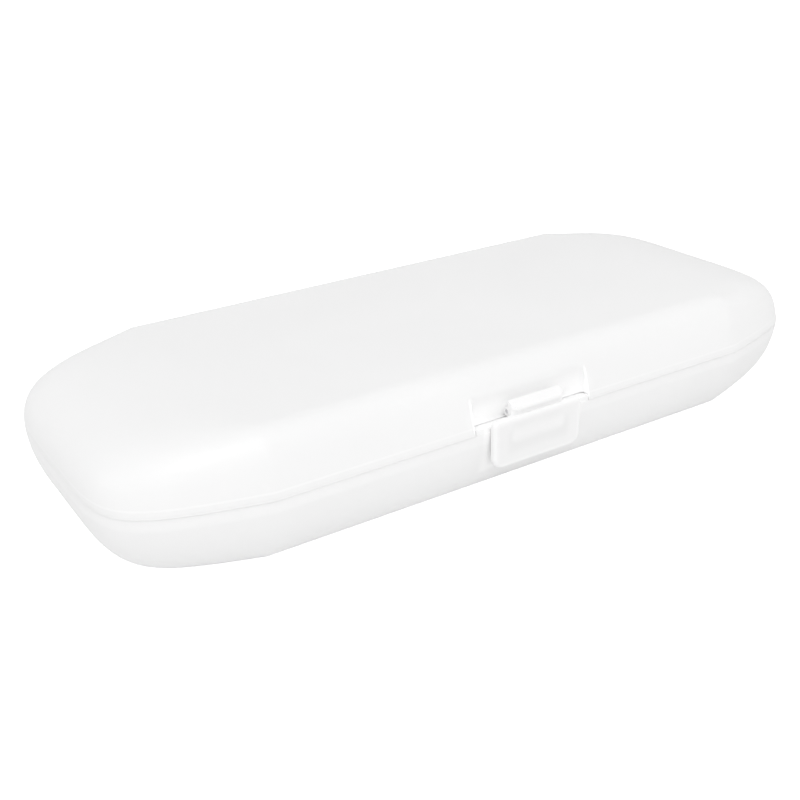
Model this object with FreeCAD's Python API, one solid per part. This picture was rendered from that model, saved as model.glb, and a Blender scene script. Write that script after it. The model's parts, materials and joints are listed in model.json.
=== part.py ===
"""Travel case that sanitises a toothbrush.

Two frosted shells, a rocking clasp, a brush tray and a lamp module.

Millimetres. +Z is up, +X runs along the case, and -Y is the side with the clasp.
The origin is the centre of the footprint, on the surface that the case stands on.
"""
import FreeCAD
import Part
import math
import os

# ---- case outline -------------------------------------------------------------------
HALF_LENGTH = 105.0      # along X, to the end of the rim
HALF_WIDTH = 45.0        # along Y, to the long side of the rim
HEIGHT = 34.0            # closed
RIM_Z = 19.5             # parting plane between base and lid
CREASE_X = 70.0          # where the straight middle turns into the tapered ends
FLARE_ANGLE = 14.0       # how far the outline turns in at the crease, in degrees
FLARE_PULL = 32.5        # how long the outline keeps that direction
END_PULL = 24.0          # how tightly the corner rounds into the end
END_FLAT = 11.0          # half of the straight stretch across the end
WALL = 1.6

# Each wall is a curve from the rim to the flat face. Its three further control points are
# (share of the height from the rim, inset from the side, share of the end's reach).
LID_WALL = [(0.54, 2.0, 1.0), (1.0, 3.7, 0.914), (1.0, 9.8, 0.0)]
BASE_WALL = [(0.61, 0.8, 1.0), (1.0, 5.5, 0.82), (1.0, 13.5, 0.53)]

# ---- locating tongue round the base rim ---------------------------------------------
TONGUE_GAP = 0.75        # from the base's inner wall line to the tongue
TONGUE_THICK = 1.0
TONGUE_SHARE = 0.124     # its height, as a share of the lid's, whose wall leans in over it
TONGUE_ROOT = 3.0        # how far down its foot is joined to the wall
TONGUE_BITE = 0.3        # how far that foot runs into the wall

# ---- rear hinge ---------------------------------------------------------------------
HINGE_X = 45.0           # half the distance between the two hinges
KNUCKLE_R = 1.95
HINGE_PIN_R = 0.8
LID_KNUCKLE_HALF = 4.8
BASE_KNUCKLE_LONG = 6.0
KNUCKLE_GAP = 0.25
HINGE_PROUD = 2.1        # how far the knuckles stand out behind the rim
GUSSET_DROP = 5.5        # how far the gusset runs down the wall
GUSSET_LAND = 0.4        # where it starts, from the rim
GUSSET_TIP = 0.96        # how far round the barrel the gusset starts, as a share of its radius
GUSSET_BURY = 1.1        # behind the wall's outer face, at the rim
GUSSET_TOE = 0.5         # its thickness where it dies into the wall
HINGE_RELIEF = 0.3       # round the other shell's knuckles
PIN_CHAMFER = 0.2

# ---- clasp --------------------------------------------------------------------------
BAY_HALF = 17.5
BAY_DEPTH = 2.4
BAY_EDGE_RISE = 1.5      # the lid's lower edge is this much higher inside the bay
BAY_WALL = 1.4
BAY_CORNER_R = 1.2
BAY_LIP_GAP = 0.2        # round the step of the base's wall that fills the foot of the bay
PLATE_HALF = 13.4
PLATE_BELOW_RIM = 9.9
PLATE_ABOVE_RIM = 2.9
PLATE_PROUD = 1.8
PLATE_THICK = 1.45
PLATE_CORNER_R = 3.0
PLATE_TOP_CORNER_R = 1.4
PLATE_EDGE_R = 0.9
BAR_HALF = 7.8
BAR_PROUD = 2.1
BAR_FOOT = 4.6           # the thumb bar's underside, above the rim
BAR_TALL = 1.9
BAR_CHAMFER = 1.1
BAR_LIP = 0.7            # height of the bar's front face
NECK_THICK = 0.75
CLASP_AXIS_DEPTH = 1.0   # pivot behind the rim's front line
CLASP_AXIS_RISE = 3.5    # pivot above the rim
CLASP_PIN_R = 0.6
CLASP_KNUCKLE_R = 1.1
CLASP_GAP = 0.2          # between the clasp and the lid's lug
LID_LUG_HALF = 3.6
CATCH_HALF = 6.6
CATCH_BELOW_RIM = 0.5
CATCH_TALL = 3.1
CATCH_PROUD = 0.9
CATCH_LAND = 0.5         # flat at the wedge's tip
HOOK_THICK = 0.5         # of the clasp's shelf under the wedge
HOOK_GAP = 0.2           # between that shelf and the wedge
HOOK_SIDE_GAP = 0.6
POCKET_GAP = 0.25        # in front of the wedge
HOOK_ROOT = 2.2

# ---- brush tray ---------------------------------------------------------------------
TRAY_GAP = 0.4
TRAY_WALL = 1.2
TRAY_BELOW_RIM = 5.5
TRAY_BACK_GAP = 1.0      # to the lamp module
TRAY_PAD_R = 4.0
TRAY_PAD_SPREAD = 12.0
BRUSH_Y = -15.0
BRUSH_BELOW_RIM = 3.0    # the middle of the brush's handle
BRUSH_R = 9.5
SADDLE_THICK = 3.0
SADDLE_X = [-52.0, -6.0, 62.0]
NOTCH_GAP = 1.0          # round the lamp window, in the tray's back wall
REFLECTOR_THICK = 0.4
REFLECTOR_GAP = 0.5      # to the tray's back wall
REFLECTOR_REACH = 16.0   # in front of the brush's middle, at the top
REFLECTOR_FLAT = 8.0     # in front of the brush's middle, at the foot
REFLECTOR_BELOW_TRAY = 1.5

# ---- lamp module --------------------------------------------------------------------
MODULE_LEFT = -62.0
MODULE_RIGHT = 62.0
MODULE_EDGE = 1.0        # of the cover, outside the battery door's rails
MODULE_BACK_GAP = 7.4    # to the base's inner wall at the rim, as the wall leans in below it
MODULE_RISE = 2.4        # above the base's floor
MODULE_WALL = 1.4
MODULE_CORNER_R = 2.0
COVER_THICK = 1.4
COVER_LIP_TALL = 0.8
COVER_LIP_THICK = 1.0
POD_LEFT = -86.0
POD_DEPTH = 12.0         # front to back
BOSS_R = 2.6
BOSS_SPACE = 0.6         # between a boss and the wall beside it
BOARD_BOSS_R = 2.0
POD_SCREW_ASIDE = 4.0
WINDOW_LONG = 20.0
WINDOW_TALL = 7.0
WINDOW_THICK = 1.0
WINDOW_LEDGE = 1.0
WINDOW_Z = 10.0
LAMP_RIB = 2.0
LAMP_RIB_SHARE = 0.7     # of the lamp board's height
LAMP_COUNT = 3
LAMP_PITCH = 6.4
LAMP_SIDE = 3.5
LAMP_TALL = 1.2
LAMP_BACK = 3.4          # from the module's front wall line to the lamp board
LAMP_BOARD_TALL = 9.0
LAMP_BOARD_LAP = 0.4     # past each end of the window
LAMP_DOME_R = 1.8
LAMP_DOME_TALL = 0.8
WIRE_R = 0.5
WIRE_BEND = 1.2
WIRE_PITCH = (3.0, 1.6)  # at the lamp board, and between the long runs
WIRE_RUN_BEHIND = 5.4    # the rear wire's long run, behind the lamp board
WIRE_RISE = 2.5          # of that run above the circuit board
WIRE_END = 9.0           # where the wires come down, from the circuit board's left edge
WIRE_END_PITCH = 2.0
BOARD_LEFT = -52.0
BOARD_RIGHT = -1.0
BOARD_INSET = 4.0        # from the module's front and back
BOARD_SCREW_INSET = (4.0, 3.0)
BOARD_THICK = 1.0
BOARD_CORNER_R = 1.0
BOARD_RISE = 2.6
BUTTON_X = -30.0
BUTTON_R = 3.4
BUTTON_PROUD = 1.0
BUTTON_TRAVEL = 0.8
BUTTON_GAP = 0.15
GUIDE_X = -18.0
GUIDE_R = 1.4
GUIDE_GAP = 0.2          # over the light, and how far the guide stands out of the cover
STEM_SHARE = 0.6         # stem radius as a share of the pin's
PIN_ROUND = 0.4
FLANGE_TALL = 0.9
FLANGE_EXTRA = 0.9

# ---- pieces on the board ------------------------------------------------------------
CHIP_SIZE = (8.0, 4.0, 1.5)
CHIP_INSET = (14.0, 5.0)
CHIP_LEGS = 5            # along each long side
CHIP_LEG_PITCH = 1.6
CHIP_LEG_SIZE = (0.6, 1.2, 0.5)
COIL_INSET = (10.0, 6.0)
COIL_R = 4.0
COIL_CORE_R = 3.0
COIL_TALL = 4.0
COIL_FLANGE = 0.8
CAN_INSET = (20.0, 4.0)
CAN_PITCH = 6.5
CAN_R = 2.5
CAN_TALL = 5.5
CAN_ROUND = 0.4
REED_SIZE = (7.0, 2.4, 2.2)
SWITCH_SIZE = (6.0, 6.0, 3.4)
PLUNGER_R = 1.7
PLUNGER_TOP = 4.2        # above the board
LED_SIZE = (2.0, 1.2, 0.8)

# ---- battery bay --------------------------------------------------------------------
CELL_R = 5.2
CELL_LONG = 44.0
CELL_ROUND = 0.5
CONTACT_HALF = 4.5
CELL_NUB_R = 1.9
CELL_NUB_LONG = 0.8
CELL_SPACING = 1.0
CELL_SIDE_GAP = 0.4
CELL_HEADROOM = 2.1
CELL_BAY_LEFT = 3.0
SPRING_LONG = 4.2
SPRING_R = 2.6
SPRING_WIRE_R = 0.3
SPRING_TURNS = 3
PLATE_METAL = 0.4
PARTITION = 1.2
DOOR_THICK = 1.2
DOOR_LAP = 1.6
DOOR_RIBS = 3
DOOR_RIB_START = 6.0
DOOR_RIB_PITCH = 2.5
DOOR_RIB_HALF = 6.0
DOOR_RIB_R = 0.7
RAIL_WALL = 1.0
RAIL_LIP = 0.8

# ---- screws, magnet and pads --------------------------------------------------------
SCREW_R = 1.0
SCREW_HEAD_R = 1.9
SCREW_HEAD_TALL = 1.3
SCREW_HEAD_ROUND = 0.5
SLOT_REACH = 1.1
SLOT_HALF = 0.22
SLOT_DEEP = 0.7
SCREW_HOLE_GAP = 0.15
COVER_SCREW_LONG = 8.0
MODULE_SCREW_LONG = 4.5
BOARD_SCREW_LONG = 3.0
BASE_SKIN_UNDER_SCREW = 0.8
MAGNET_R = 3.0
MAGNET_TALL = 2.0
MAGNET_INSET = 10.0      # from the circuit board's left edge
MAGNET_BEHIND_MIDDLE = 4.0
MAGNET_POST_WALL = 1.2
MAGNET_CLEAR = 2.6       # above the module's cover
PAD_LONG = 8.0
PAD_WIDE = 16.0
PAD_CORNER_R = 2.0
PAD_DEPTH = 0.75         # how far down the brush's side the pads reach, as a share of its radius
PAD_GRIP = 0.6           # between the pad and the handle of the thickest brush

SMALL_GAP = 0.1          # between pieces that sit in each other
MERGE = 0.5              # how far pieces of one moulding run into each other
OVERCUT = 1.0            # how far a cutting form runs past what it cuts
RUN_GAP = 0.06           # radial, for a pin that turns in its hole
FIT_GAP = 0.02           # radial, for a pin that stays in its hole

FRONT_Y = -HALF_WIDTH
TONGUE_HEIGHT = (HEIGHT - RIM_Z) * TONGUE_SHARE
HINGE_Y = HALF_WIDTH + HINGE_PROUD - KNUCKLE_R
CLASP_AXIS_Y = FRONT_Y + CLASP_AXIS_DEPTH
CLASP_AXIS_Z = RIM_Z + CLASP_AXIS_RISE
PLATE_BOTTOM_Z = RIM_Z - PLATE_BELOW_RIM
PLATE_TOP_Z = RIM_Z + PLATE_ABOVE_RIM
BAR_BOTTOM_Z = RIM_Z + BAR_FOOT
BAR_TOP_Z = BAR_BOTTOM_Z + BAR_TALL
CATCH_TOP_Z = RIM_Z - CATCH_BELOW_RIM
CATCH_BOTTOM_Z = CATCH_TOP_Z - CATCH_TALL
TRAY_TOP_Z = RIM_Z - TRAY_BELOW_RIM
BRUSH_Z = RIM_Z - BRUSH_BELOW_RIM
CELL_PITCH = 2 * CELL_R + CELL_SPACING
CELL_BAY_HALF = CELL_PITCH / 2 + CELL_R + CELL_SIDE_GAP
MODULE_BACK = HALF_WIDTH - WALL - MODULE_BACK_GAP
MODULE_FRONT = MODULE_BACK - 2 * (CELL_BAY_HALF + DOOR_LAP + SMALL_GAP + RAIL_WALL + MODULE_EDGE)
TRAY_BACK_Y = MODULE_FRONT - TRAY_BACK_GAP
POD_BACK = MODULE_FRONT + POD_DEPTH
BOARD_FRONT = MODULE_FRONT + BOARD_INSET
BOARD_BACK = MODULE_BACK - BOARD_INSET
MODULE_FLOOR_Z = WALL + MODULE_RISE
MODULE_MID_Y = (MODULE_FRONT + MODULE_BACK) / 2
MODULE_MID_X = (MODULE_LEFT + MODULE_RIGHT) / 2
TUB_FLOOR_Z = MODULE_FLOOR_Z + MODULE_WALL
TUB_FRONT = MODULE_FRONT + MODULE_WALL
POD_MID_X = (POD_LEFT + MODULE_LEFT) / 2
BOARD_Z = TUB_FLOOR_Z + BOARD_RISE
BOARD_TOP_Z = BOARD_Z + BOARD_THICK
CELL_Z = TUB_FLOOR_Z + CELL_R + SMALL_GAP
MODULE_TOP_Z = CELL_Z + CELL_R + CELL_HEADROOM
COVER_TOP_Z = MODULE_TOP_Z + COVER_THICK
CELL_BAY_LONG = CELL_LONG + CELL_NUB_LONG + SPRING_LONG + 2 * (PLATE_METAL + SMALL_GAP)
CELL_BAY_RIGHT = CELL_BAY_LEFT + CELL_BAY_LONG
DOOR_Z = COVER_TOP_Z + SMALL_GAP / 2
MAGNET_Z = COVER_TOP_Z + MAGNET_CLEAR
LAMP_BOARD_Y = MODULE_FRONT + LAMP_BACK


def vec(x, y, z):
    return FreeCAD.Vector(x, y, z)


def box(x0, x1, y0, y1, z0, z1):
    return Part.makeBox(x1 - x0, y1 - y0, z1 - z0, vec(x0, y0, z0))


def rod(radius, start, end):
    axis = end - start
    return Part.makeCylinder(radius, axis.Length, start, axis)


def prism(points, x0, x1):
    """A (y, z) outline pushed along X."""
    corners = [vec(x0, y, z) for y, z in points]
    face = Part.Face(Part.makePolygon(corners + corners[:1]))
    return face.extrude(vec(x1 - x0, 0, 0))


def round_edges(shape):
    return [e for e in shape.Edges if e.Curve.TypeId == "Part::GeomCircle"]


def edges_along(shape, axis):
    """The straight edges that run along one of the axes "x", "y" or "z"."""
    straight = [e for e in shape.Edges if e.Curve.TypeId == "Part::GeomLine"]
    return [e for e in straight if abs(getattr(e.tangentAt(e.FirstParameter), axis)) > 0.9]


def save(name, shape):
    """Writes one piece, or a group of like pieces, to a file of its own."""
    if isinstance(shape, list):
        shape = Part.makeCompound(shape)
    shape.exportStep("parts/" + name + ".step")
    print("%-22s %2d solids %9.1f mm3" % (name, len(shape.Solids), shape.Volume))


# ---- the shell form -----------------------------------------------------------------
def corner_points(inset, reach, shrink):
    """The outline's four control points round one corner, moved in by inset at one level."""
    half_length = HALF_LENGTH - shrink
    half_width = HALF_WIDTH - shrink
    angle = math.radians(FLARE_ANGLE)
    end_x = CREASE_X + (half_length - CREASE_X) * reach
    pull_x = FLARE_PULL * math.cos(angle) * (half_length - CREASE_X) / (HALF_LENGTH - CREASE_X)
    side_y = half_width - inset
    return [
        (CREASE_X, side_y),
        (CREASE_X + pull_x * reach, side_y - FLARE_PULL * math.sin(angle)),
        (end_x, END_FLAT + END_PULL - inset - shrink),
        (end_x, END_FLAT),
    ]


def wall_net(wall, flat_z, shrink):
    """Four rows of control points, from the rim to the flat face."""
    rows = [(RIM_Z, 0.0, 1.0)]
    rows += [(RIM_Z + (flat_z - RIM_Z) * up, inset, reach) for up, inset, reach in wall]
    return [[vec(x, y, z) for x, y in corner_points(inset, reach, shrink)] for z, inset, reach in rows]


def bezier_face(net):
    """A Bezier surface through a rectangular net of control points."""
    surface = Part.BezierSurface()
    surface.increase(len(net) - 1, len(net[0]) - 1)
    for i, row in enumerate(net):
        for j, point in enumerate(row):
            surface.setPole(i + 1, j + 1, point)
    return surface.toShape()


def flip(net, sx, sy):
    return [[vec(p.x * sx, p.y * sy, p.z) for p in row] for row in net]


def curve(points):
    line = Part.BezierCurve()
    line.setPoles(points)
    return line.toShape()


def outline_edges(row):
    """One level's whole outline, from its corner's control points."""
    edges = []
    turned = [flip([row], sx, sy)[0] for sx, sy in ((1, 1), (-1, 1), (-1, -1), (1, -1))]
    for points in turned:
        straight = all(abs(p.x - points[0].x) < 1e-6 for p in points)
        if straight:
            edges.append(Part.makeLine(points[0], points[3]))
        else:
            edges.append(curve(points))
    for a, b, k in ((0, 1, 0), (2, 3, 0), (0, 3, 3), (1, 2, 3)):
        edges.append(Part.makeLine(turned[a][k], turned[b][k]))
    return edges


def flat_face(row):
    edges = Part.__sortEdges__(outline_edges(row))
    return Part.Face(Part.Wire(edges))


def case_form(wall, flat_z, shrink=0.0):
    """The closed form between the rim plane and the flat face, moved in by shrink all round."""
    net = wall_net(wall, flat_z, shrink)
    faces = [flat_face(net[0]), flat_face(net[3])]
    side = [[row[0], vec(-row[0].x, row[0].y, row[0].z)] for row in net]
    end = [[row[3], vec(row[3].x, -row[3].y, row[3].z)] for row in net]
    for sy in (1, -1):
        faces.append(bezier_face(flip(side, 1, sy)))
    for sx in (1, -1):
        faces.append(bezier_face(flip(end, sx, 1)))
        for sy in (1, -1):
            faces.append(bezier_face(flip(net, sx, sy)))
    shell = Part.makeShell(faces)
    shell.sewShape()
    solid = Part.makeSolid(Part.Shell(shell.Faces))
    if solid.Volume < 0:
        solid.reverse()
    return solid


def base_form(shrink=0.0):
    return case_form(BASE_WALL, shrink, shrink)


def lid_form(shrink=0.0):
    return case_form(LID_WALL, HEIGHT - shrink, shrink)


def rim_prism(shrink, z0, z1):
    """The rim's outline, moved in by shrink, as a straight prism."""
    row = [vec(x, y, z0) for x, y in corner_points(0.0, 1.0, shrink)]
    return flat_face(row).extrude(vec(0, 0, z1 - z0))


# ---- hinge --------------------------------------------------------------------------
def base_knuckle_spans():
    spans = []
    for centre in (-HINGE_X, HINGE_X):
        near = LID_KNUCKLE_HALF + KNUCKLE_GAP
        far = near + BASE_KNUCKLE_LONG
        spans += [(centre - far, centre - near), (centre + near, centre + far)]
    return spans


def lid_knuckle_spans():
    return [(c - LID_KNUCKLE_HALF, c + LID_KNUCKLE_HALF) for c in (-HINGE_X, HINGE_X)]


def knuckle(x0, x1, up):
    """A barrel round the hinge axis, with the gusset that carries it. up is 1 on the lid, -1 on the base."""
    barrel = rod(KNUCKLE_R, vec(x0, HINGE_Y, RIM_Z), vec(x1, HINGE_Y, RIM_Z))
    tip = HINGE_Y + KNUCKLE_R * GUSSET_TIP
    wall_y = HALF_WIDTH - GUSSET_BURY
    near_z = RIM_Z + GUSSET_LAND * up
    far_z = RIM_Z + GUSSET_DROP * up
    toe = wall_y - GUSSET_TOE
    outline = [(tip, near_z), (toe, far_z), (toe - GUSSET_TOE, far_z), (wall_y, near_z)]
    return barrel.fuse(prism(outline, x0, x1))


def hinge_relief(spans):
    """Room for the other shell's knuckles to turn in."""
    return hinge_rods(spans, KNUCKLE_R + HINGE_RELIEF, KNUCKLE_GAP)


def hinge_rods(spans, radius, extra):
    """Rods along the hinge axis, each longer than its span by extra at both ends."""
    rods = [rod(radius, vec(a - extra, HINGE_Y, RIM_Z), vec(b + extra, HINGE_Y, RIM_Z)) for a, b in spans]
    return Part.makeCompound(rods)


def hinge_pins():
    reach = LID_KNUCKLE_HALF + KNUCKLE_GAP + BASE_KNUCKLE_LONG
    pins = []
    for c in (-HINGE_X, HINGE_X):
        pin = rod(HINGE_PIN_R, vec(c - reach, HINGE_Y, RIM_Z), vec(c + reach, HINGE_Y, RIM_Z))
        pins.append(pin.makeChamfer(PIN_CHAMFER, round_edges(pin)))
    return pins


# ---- shells -------------------------------------------------------------------------
def catch_wedge():
    """The wedge on the base's front wall that the clasp hooks under."""
    inside = FRONT_Y + WALL - MERGE
    outline = [
        (inside, CATCH_TOP_Z),
        (FRONT_Y, CATCH_TOP_Z),
        (FRONT_Y - CATCH_PROUD, CATCH_BOTTOM_Z + CATCH_LAND),
        (FRONT_Y - CATCH_PROUD, CATCH_BOTTOM_Z),
        (inside, CATCH_BOTTOM_Z),
    ]
    return prism(outline, -CATCH_HALF, CATCH_HALF)


def bay_lip():
    """The base's front wall steps up into the foot of the clasp's bay, as thick as wall and tongue together."""
    half = BAY_HALF - BAY_LIP_GAP
    top = RIM_Z + BAY_EDGE_RISE - BAY_LIP_GAP
    back = FRONT_Y + WALL + TONGUE_GAP + TONGUE_BITE
    return box(-half, half, FRONT_Y + SMALL_GAP, back, RIM_Z - MERGE, top)


def module_screw_places():
    inset = MODULE_WALL + BOSS_R + BOSS_SPACE
    pod = (POD_MID_X - POD_SCREW_ASIDE, POD_BACK - MODULE_WALL - BOSS_R)
    return [pod, (MODULE_LEFT + inset, MODULE_MID_Y), (MODULE_RIGHT - inset, MODULE_MID_Y)]


def base_posts():
    """Posts that the module is screwed down to, and low pads that the tray stands on."""
    posts = [rod(BOSS_R, vec(x, y, WALL / 2), vec(x, y, MODULE_FLOOR_Z)) for x, y in module_screw_places()]
    for x in (-CREASE_X, 0.0, CREASE_X):
        for y in (BRUSH_Y - TRAY_PAD_SPREAD, BRUSH_Y + TRAY_PAD_SPREAD):
            posts.append(rod(TRAY_PAD_R, vec(x, y, WALL / 2), vec(x, y, WALL + TRAY_GAP)))
    return posts


def base_shell():
    shell = base_form().cut(base_form(WALL))
    inner_face = WALL + TONGUE_GAP + TONGUE_THICK
    root = rim_prism(WALL - TONGUE_BITE, RIM_Z - TONGUE_ROOT, RIM_Z)
    tongue = rim_prism(WALL + TONGUE_GAP, RIM_Z - MERGE, RIM_Z + TONGUE_HEIGHT)
    hollow = rim_prism(inner_face, RIM_Z - TONGUE_ROOT - OVERCUT, RIM_Z + TONGUE_HEIGHT + OVERCUT)
    bay_room = BAY_HALF + BAY_WALL + TONGUE_GAP
    low_front = box(-bay_room, bay_room, FRONT_Y, BRUSH_Y, RIM_Z + BAY_EDGE_RISE - BAY_LIP_GAP, HEIGHT)
    shell = shell.fuse(root.fuse(tongue).cut(hollow).cut(low_front).common(base_form().fuse(tongue)))
    for a, b in base_knuckle_spans():
        shell = shell.fuse(knuckle(a, b, -1))
    shell = shell.fuse(base_posts()).fuse(catch_wedge()).fuse(bay_lip())
    shell = shell.cut(hinge_relief(lid_knuckle_spans()))
    shell = shell.cut(hinge_rods(base_knuckle_spans(), HINGE_PIN_R + FIT_GAP, OVERCUT))
    for x, y in module_screw_places():
        start = vec(x, y, BASE_SKIN_UNDER_SCREW)
        shell = shell.cut(rod(SCREW_R + FIT_GAP, start, vec(x, y, MODULE_FLOOR_Z + OVERCUT)))
    return shell.removeSplitter()


def clasp_axis_rod(radius, x0, x1):
    return rod(radius, vec(x0, CLASP_AXIS_Y, CLASP_AXIS_Z), vec(x1, CLASP_AXIS_Y, CLASP_AXIS_Z))


def lid_lug():
    """The knuckle on the bay's floor that carries the clasp's pin."""
    back = FRONT_Y + BAY_DEPTH + MERGE
    r = CLASP_KNUCKLE_R
    barrel = clasp_axis_rod(r, -LID_LUG_HALF, LID_LUG_HALF)
    web = box(-LID_LUG_HALF, LID_LUG_HALF, CLASP_AXIS_Y, back, CLASP_AXIS_Z - r, CLASP_AXIS_Z + r)
    return barrel.fuse(web)


def lid_shell():
    shell = lid_form().cut(lid_form(WALL))
    bay_y = FRONT_Y + BAY_DEPTH
    wide = BAY_HALF + BAY_WALL
    edge_z = RIM_Z + BAY_EDGE_RISE
    backing = box(-wide, wide, FRONT_Y, bay_y + BAY_WALL, edge_z, HEIGHT - WALL)
    shell = shell.fuse(backing.common(lid_form()))
    bay = box(-BAY_HALF, BAY_HALF, FRONT_Y - OVERCUT, bay_y, RIM_Z - OVERCUT, HEIGHT)
    bay = bay.makeFillet(BAY_CORNER_R, [e for e in edges_along(bay, "z") if e.CenterOfMass.y > FRONT_Y])
    under = box(-BAY_HALF, BAY_HALF, FRONT_Y - OVERCUT, bay_y + BAY_WALL + OVERCUT, RIM_Z - OVERCUT, edge_z)
    shell = shell.cut(bay).cut(under)
    for a, b in lid_knuckle_spans():
        shell = shell.fuse(knuckle(a, b, 1))
    shell = shell.fuse(lid_lug())
    x, y = magnet_place()
    post = rod(MAGNET_R + MAGNET_POST_WALL, vec(x, y, MAGNET_Z), vec(x, y, HEIGHT - WALL / 2))
    seat = rod(MAGNET_R + FIT_GAP, vec(x, y, MAGNET_Z - OVERCUT), vec(x, y, MAGNET_Z + MAGNET_TALL))
    shell = shell.fuse(post).cut(seat)
    shell = shell.cut(hinge_relief(base_knuckle_spans()))
    shell = shell.cut(hinge_rods(lid_knuckle_spans(), HINGE_PIN_R + RUN_GAP, OVERCUT))
    shell = shell.cut(clasp_axis_rod(CLASP_PIN_R + FIT_GAP, -LID_LUG_HALF - OVERCUT, LID_LUG_HALF + OVERCUT))
    return shell.removeSplitter()


def magnet_place():
    """Over the reed sensor on the board."""
    return BOARD_LEFT + MAGNET_INSET, MODULE_MID_Y + MAGNET_BEHIND_MIDDLE


def lid_magnet():
    x, y = magnet_place()
    return rod(MAGNET_R, vec(x, y, MAGNET_Z + SMALL_GAP), vec(x, y, MAGNET_Z + MAGNET_TALL))


# ---- clasp --------------------------------------------------------------------------
def clasp_plate(front, back):
    """The plate, rounded at its corners and round its front face."""
    plate = box(-PLATE_HALF, PLATE_HALF, front, back, PLATE_BOTTOM_Z, PLATE_TOP_Z)
    middle_z = (PLATE_BOTTOM_Z + PLATE_TOP_Z) / 2
    low = [e for e in edges_along(plate, "y") if e.CenterOfMass.z < middle_z]
    plate = plate.makeFillet(PLATE_CORNER_R, low)
    high = [e for e in edges_along(plate, "y") if e.CenterOfMass.z > middle_z]
    plate = plate.makeFillet(PLATE_TOP_CORNER_R, high)
    return plate.makeFillet(PLATE_EDGE_R, [e for e in plate.Edges if abs(e.CenterOfMass.y - front) < 0.01])


def clasp_hook(back):
    """The shelf behind the plate that catches under the base's wedge, and the pocket over it."""
    half = CATCH_HALF + HOOK_SIDE_GAP
    shelf_z = CATCH_BOTTOM_Z - HOOK_GAP
    pocket_y = FRONT_Y - CATCH_PROUD - POCKET_GAP
    pocket = box(-half, half, pocket_y, back + OVERCUT, shelf_z, CATCH_TOP_Z + OVERCUT)
    tip_y = FRONT_Y + SMALL_GAP
    root_y = back - SMALL_GAP
    tip_low = (tip_y, shelf_z - HOOK_THICK)
    root_low = (root_y, shelf_z - HOOK_ROOT)
    return pocket, prism([(root_y, shelf_z), (tip_y, shelf_z), tip_low, root_low], -half, half)


def thumb_bar():
    """A bar of wedge section whose front corners are cut at 45 degrees."""
    back = CLASP_AXIS_Y - CLASP_GAP * 2
    front = FRONT_Y - BAR_PROUD
    low = BAR_BOTTOM_Z
    outline = [(back, BAR_TOP_Z), (front, low + BAR_LIP), (front, low), (back, low)]
    bar = prism(outline, -BAR_HALF, BAR_HALF)
    reach = 2 * BAR_CHAMFER
    for side in (-1, 1):
        corner = side * (BAR_HALF - BAR_CHAMFER)
        points = [(corner, front), (corner + side * reach, front + reach), (corner + side * reach, front)]
        wire = Part.makePolygon([vec(x, y, BAR_BOTTOM_Z - OVERCUT) for x, y in points + points[:1]])
        bar = bar.cut(Part.Face(wire).extrude(vec(0, 0, BAR_TALL + 2 * OVERCUT)))
    return bar


def clasp_ears(skin_back):
    """Two knuckles behind the neck, one each side of the lid's lug."""
    r = CLASP_KNUCKLE_R
    ears = []
    for side in (-1, 1):
        inner = side * (LID_LUG_HALF + CLASP_GAP)
        lo, hi = sorted((inner, side * BAR_HALF))
        web = box(lo, hi, skin_back - NECK_THICK / 2, CLASP_AXIS_Y, CLASP_AXIS_Z - r, CLASP_AXIS_Z + r)
        ears.append(clasp_axis_rod(r, lo, hi).fuse(web))
    return ears


def clasp():
    """Plate, hook, neck, thumb bar and ears in one piece, with the hole for the pin."""
    front = FRONT_Y - PLATE_PROUD
    back = front + PLATE_THICK
    skin_back = CLASP_AXIS_Y - CLASP_KNUCKLE_R - CLASP_GAP
    pocket, shelf = clasp_hook(back)
    body = clasp_plate(front, back).cut(pocket).fuse(shelf)
    root_z = PLATE_TOP_Z - PLATE_TOP_CORNER_R
    neck = box(-BAR_HALF, BAR_HALF, skin_back - NECK_THICK, skin_back, root_z, BAR_BOTTOM_Z + MERGE)
    root = box(-BAR_HALF, BAR_HALF, back - MERGE, skin_back, root_z, PLATE_TOP_Z - MERGE)
    body = body.fuse([neck, root, thumb_bar()] + clasp_ears(skin_back))
    hole = clasp_axis_rod(CLASP_PIN_R + RUN_GAP, -BAR_HALF - OVERCUT, BAR_HALF + OVERCUT)
    return body.cut(hole).removeSplitter()


def clasp_pin():
    return clasp_axis_rod(CLASP_PIN_R, CLASP_GAP - BAR_HALF, BAR_HALF - CLASP_GAP)


# ---- tray ---------------------------------------------------------------------------
def window_span(extra):
    return POD_MID_X - WINDOW_LONG / 2 - extra, POD_MID_X + WINDOW_LONG / 2 + extra


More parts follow.
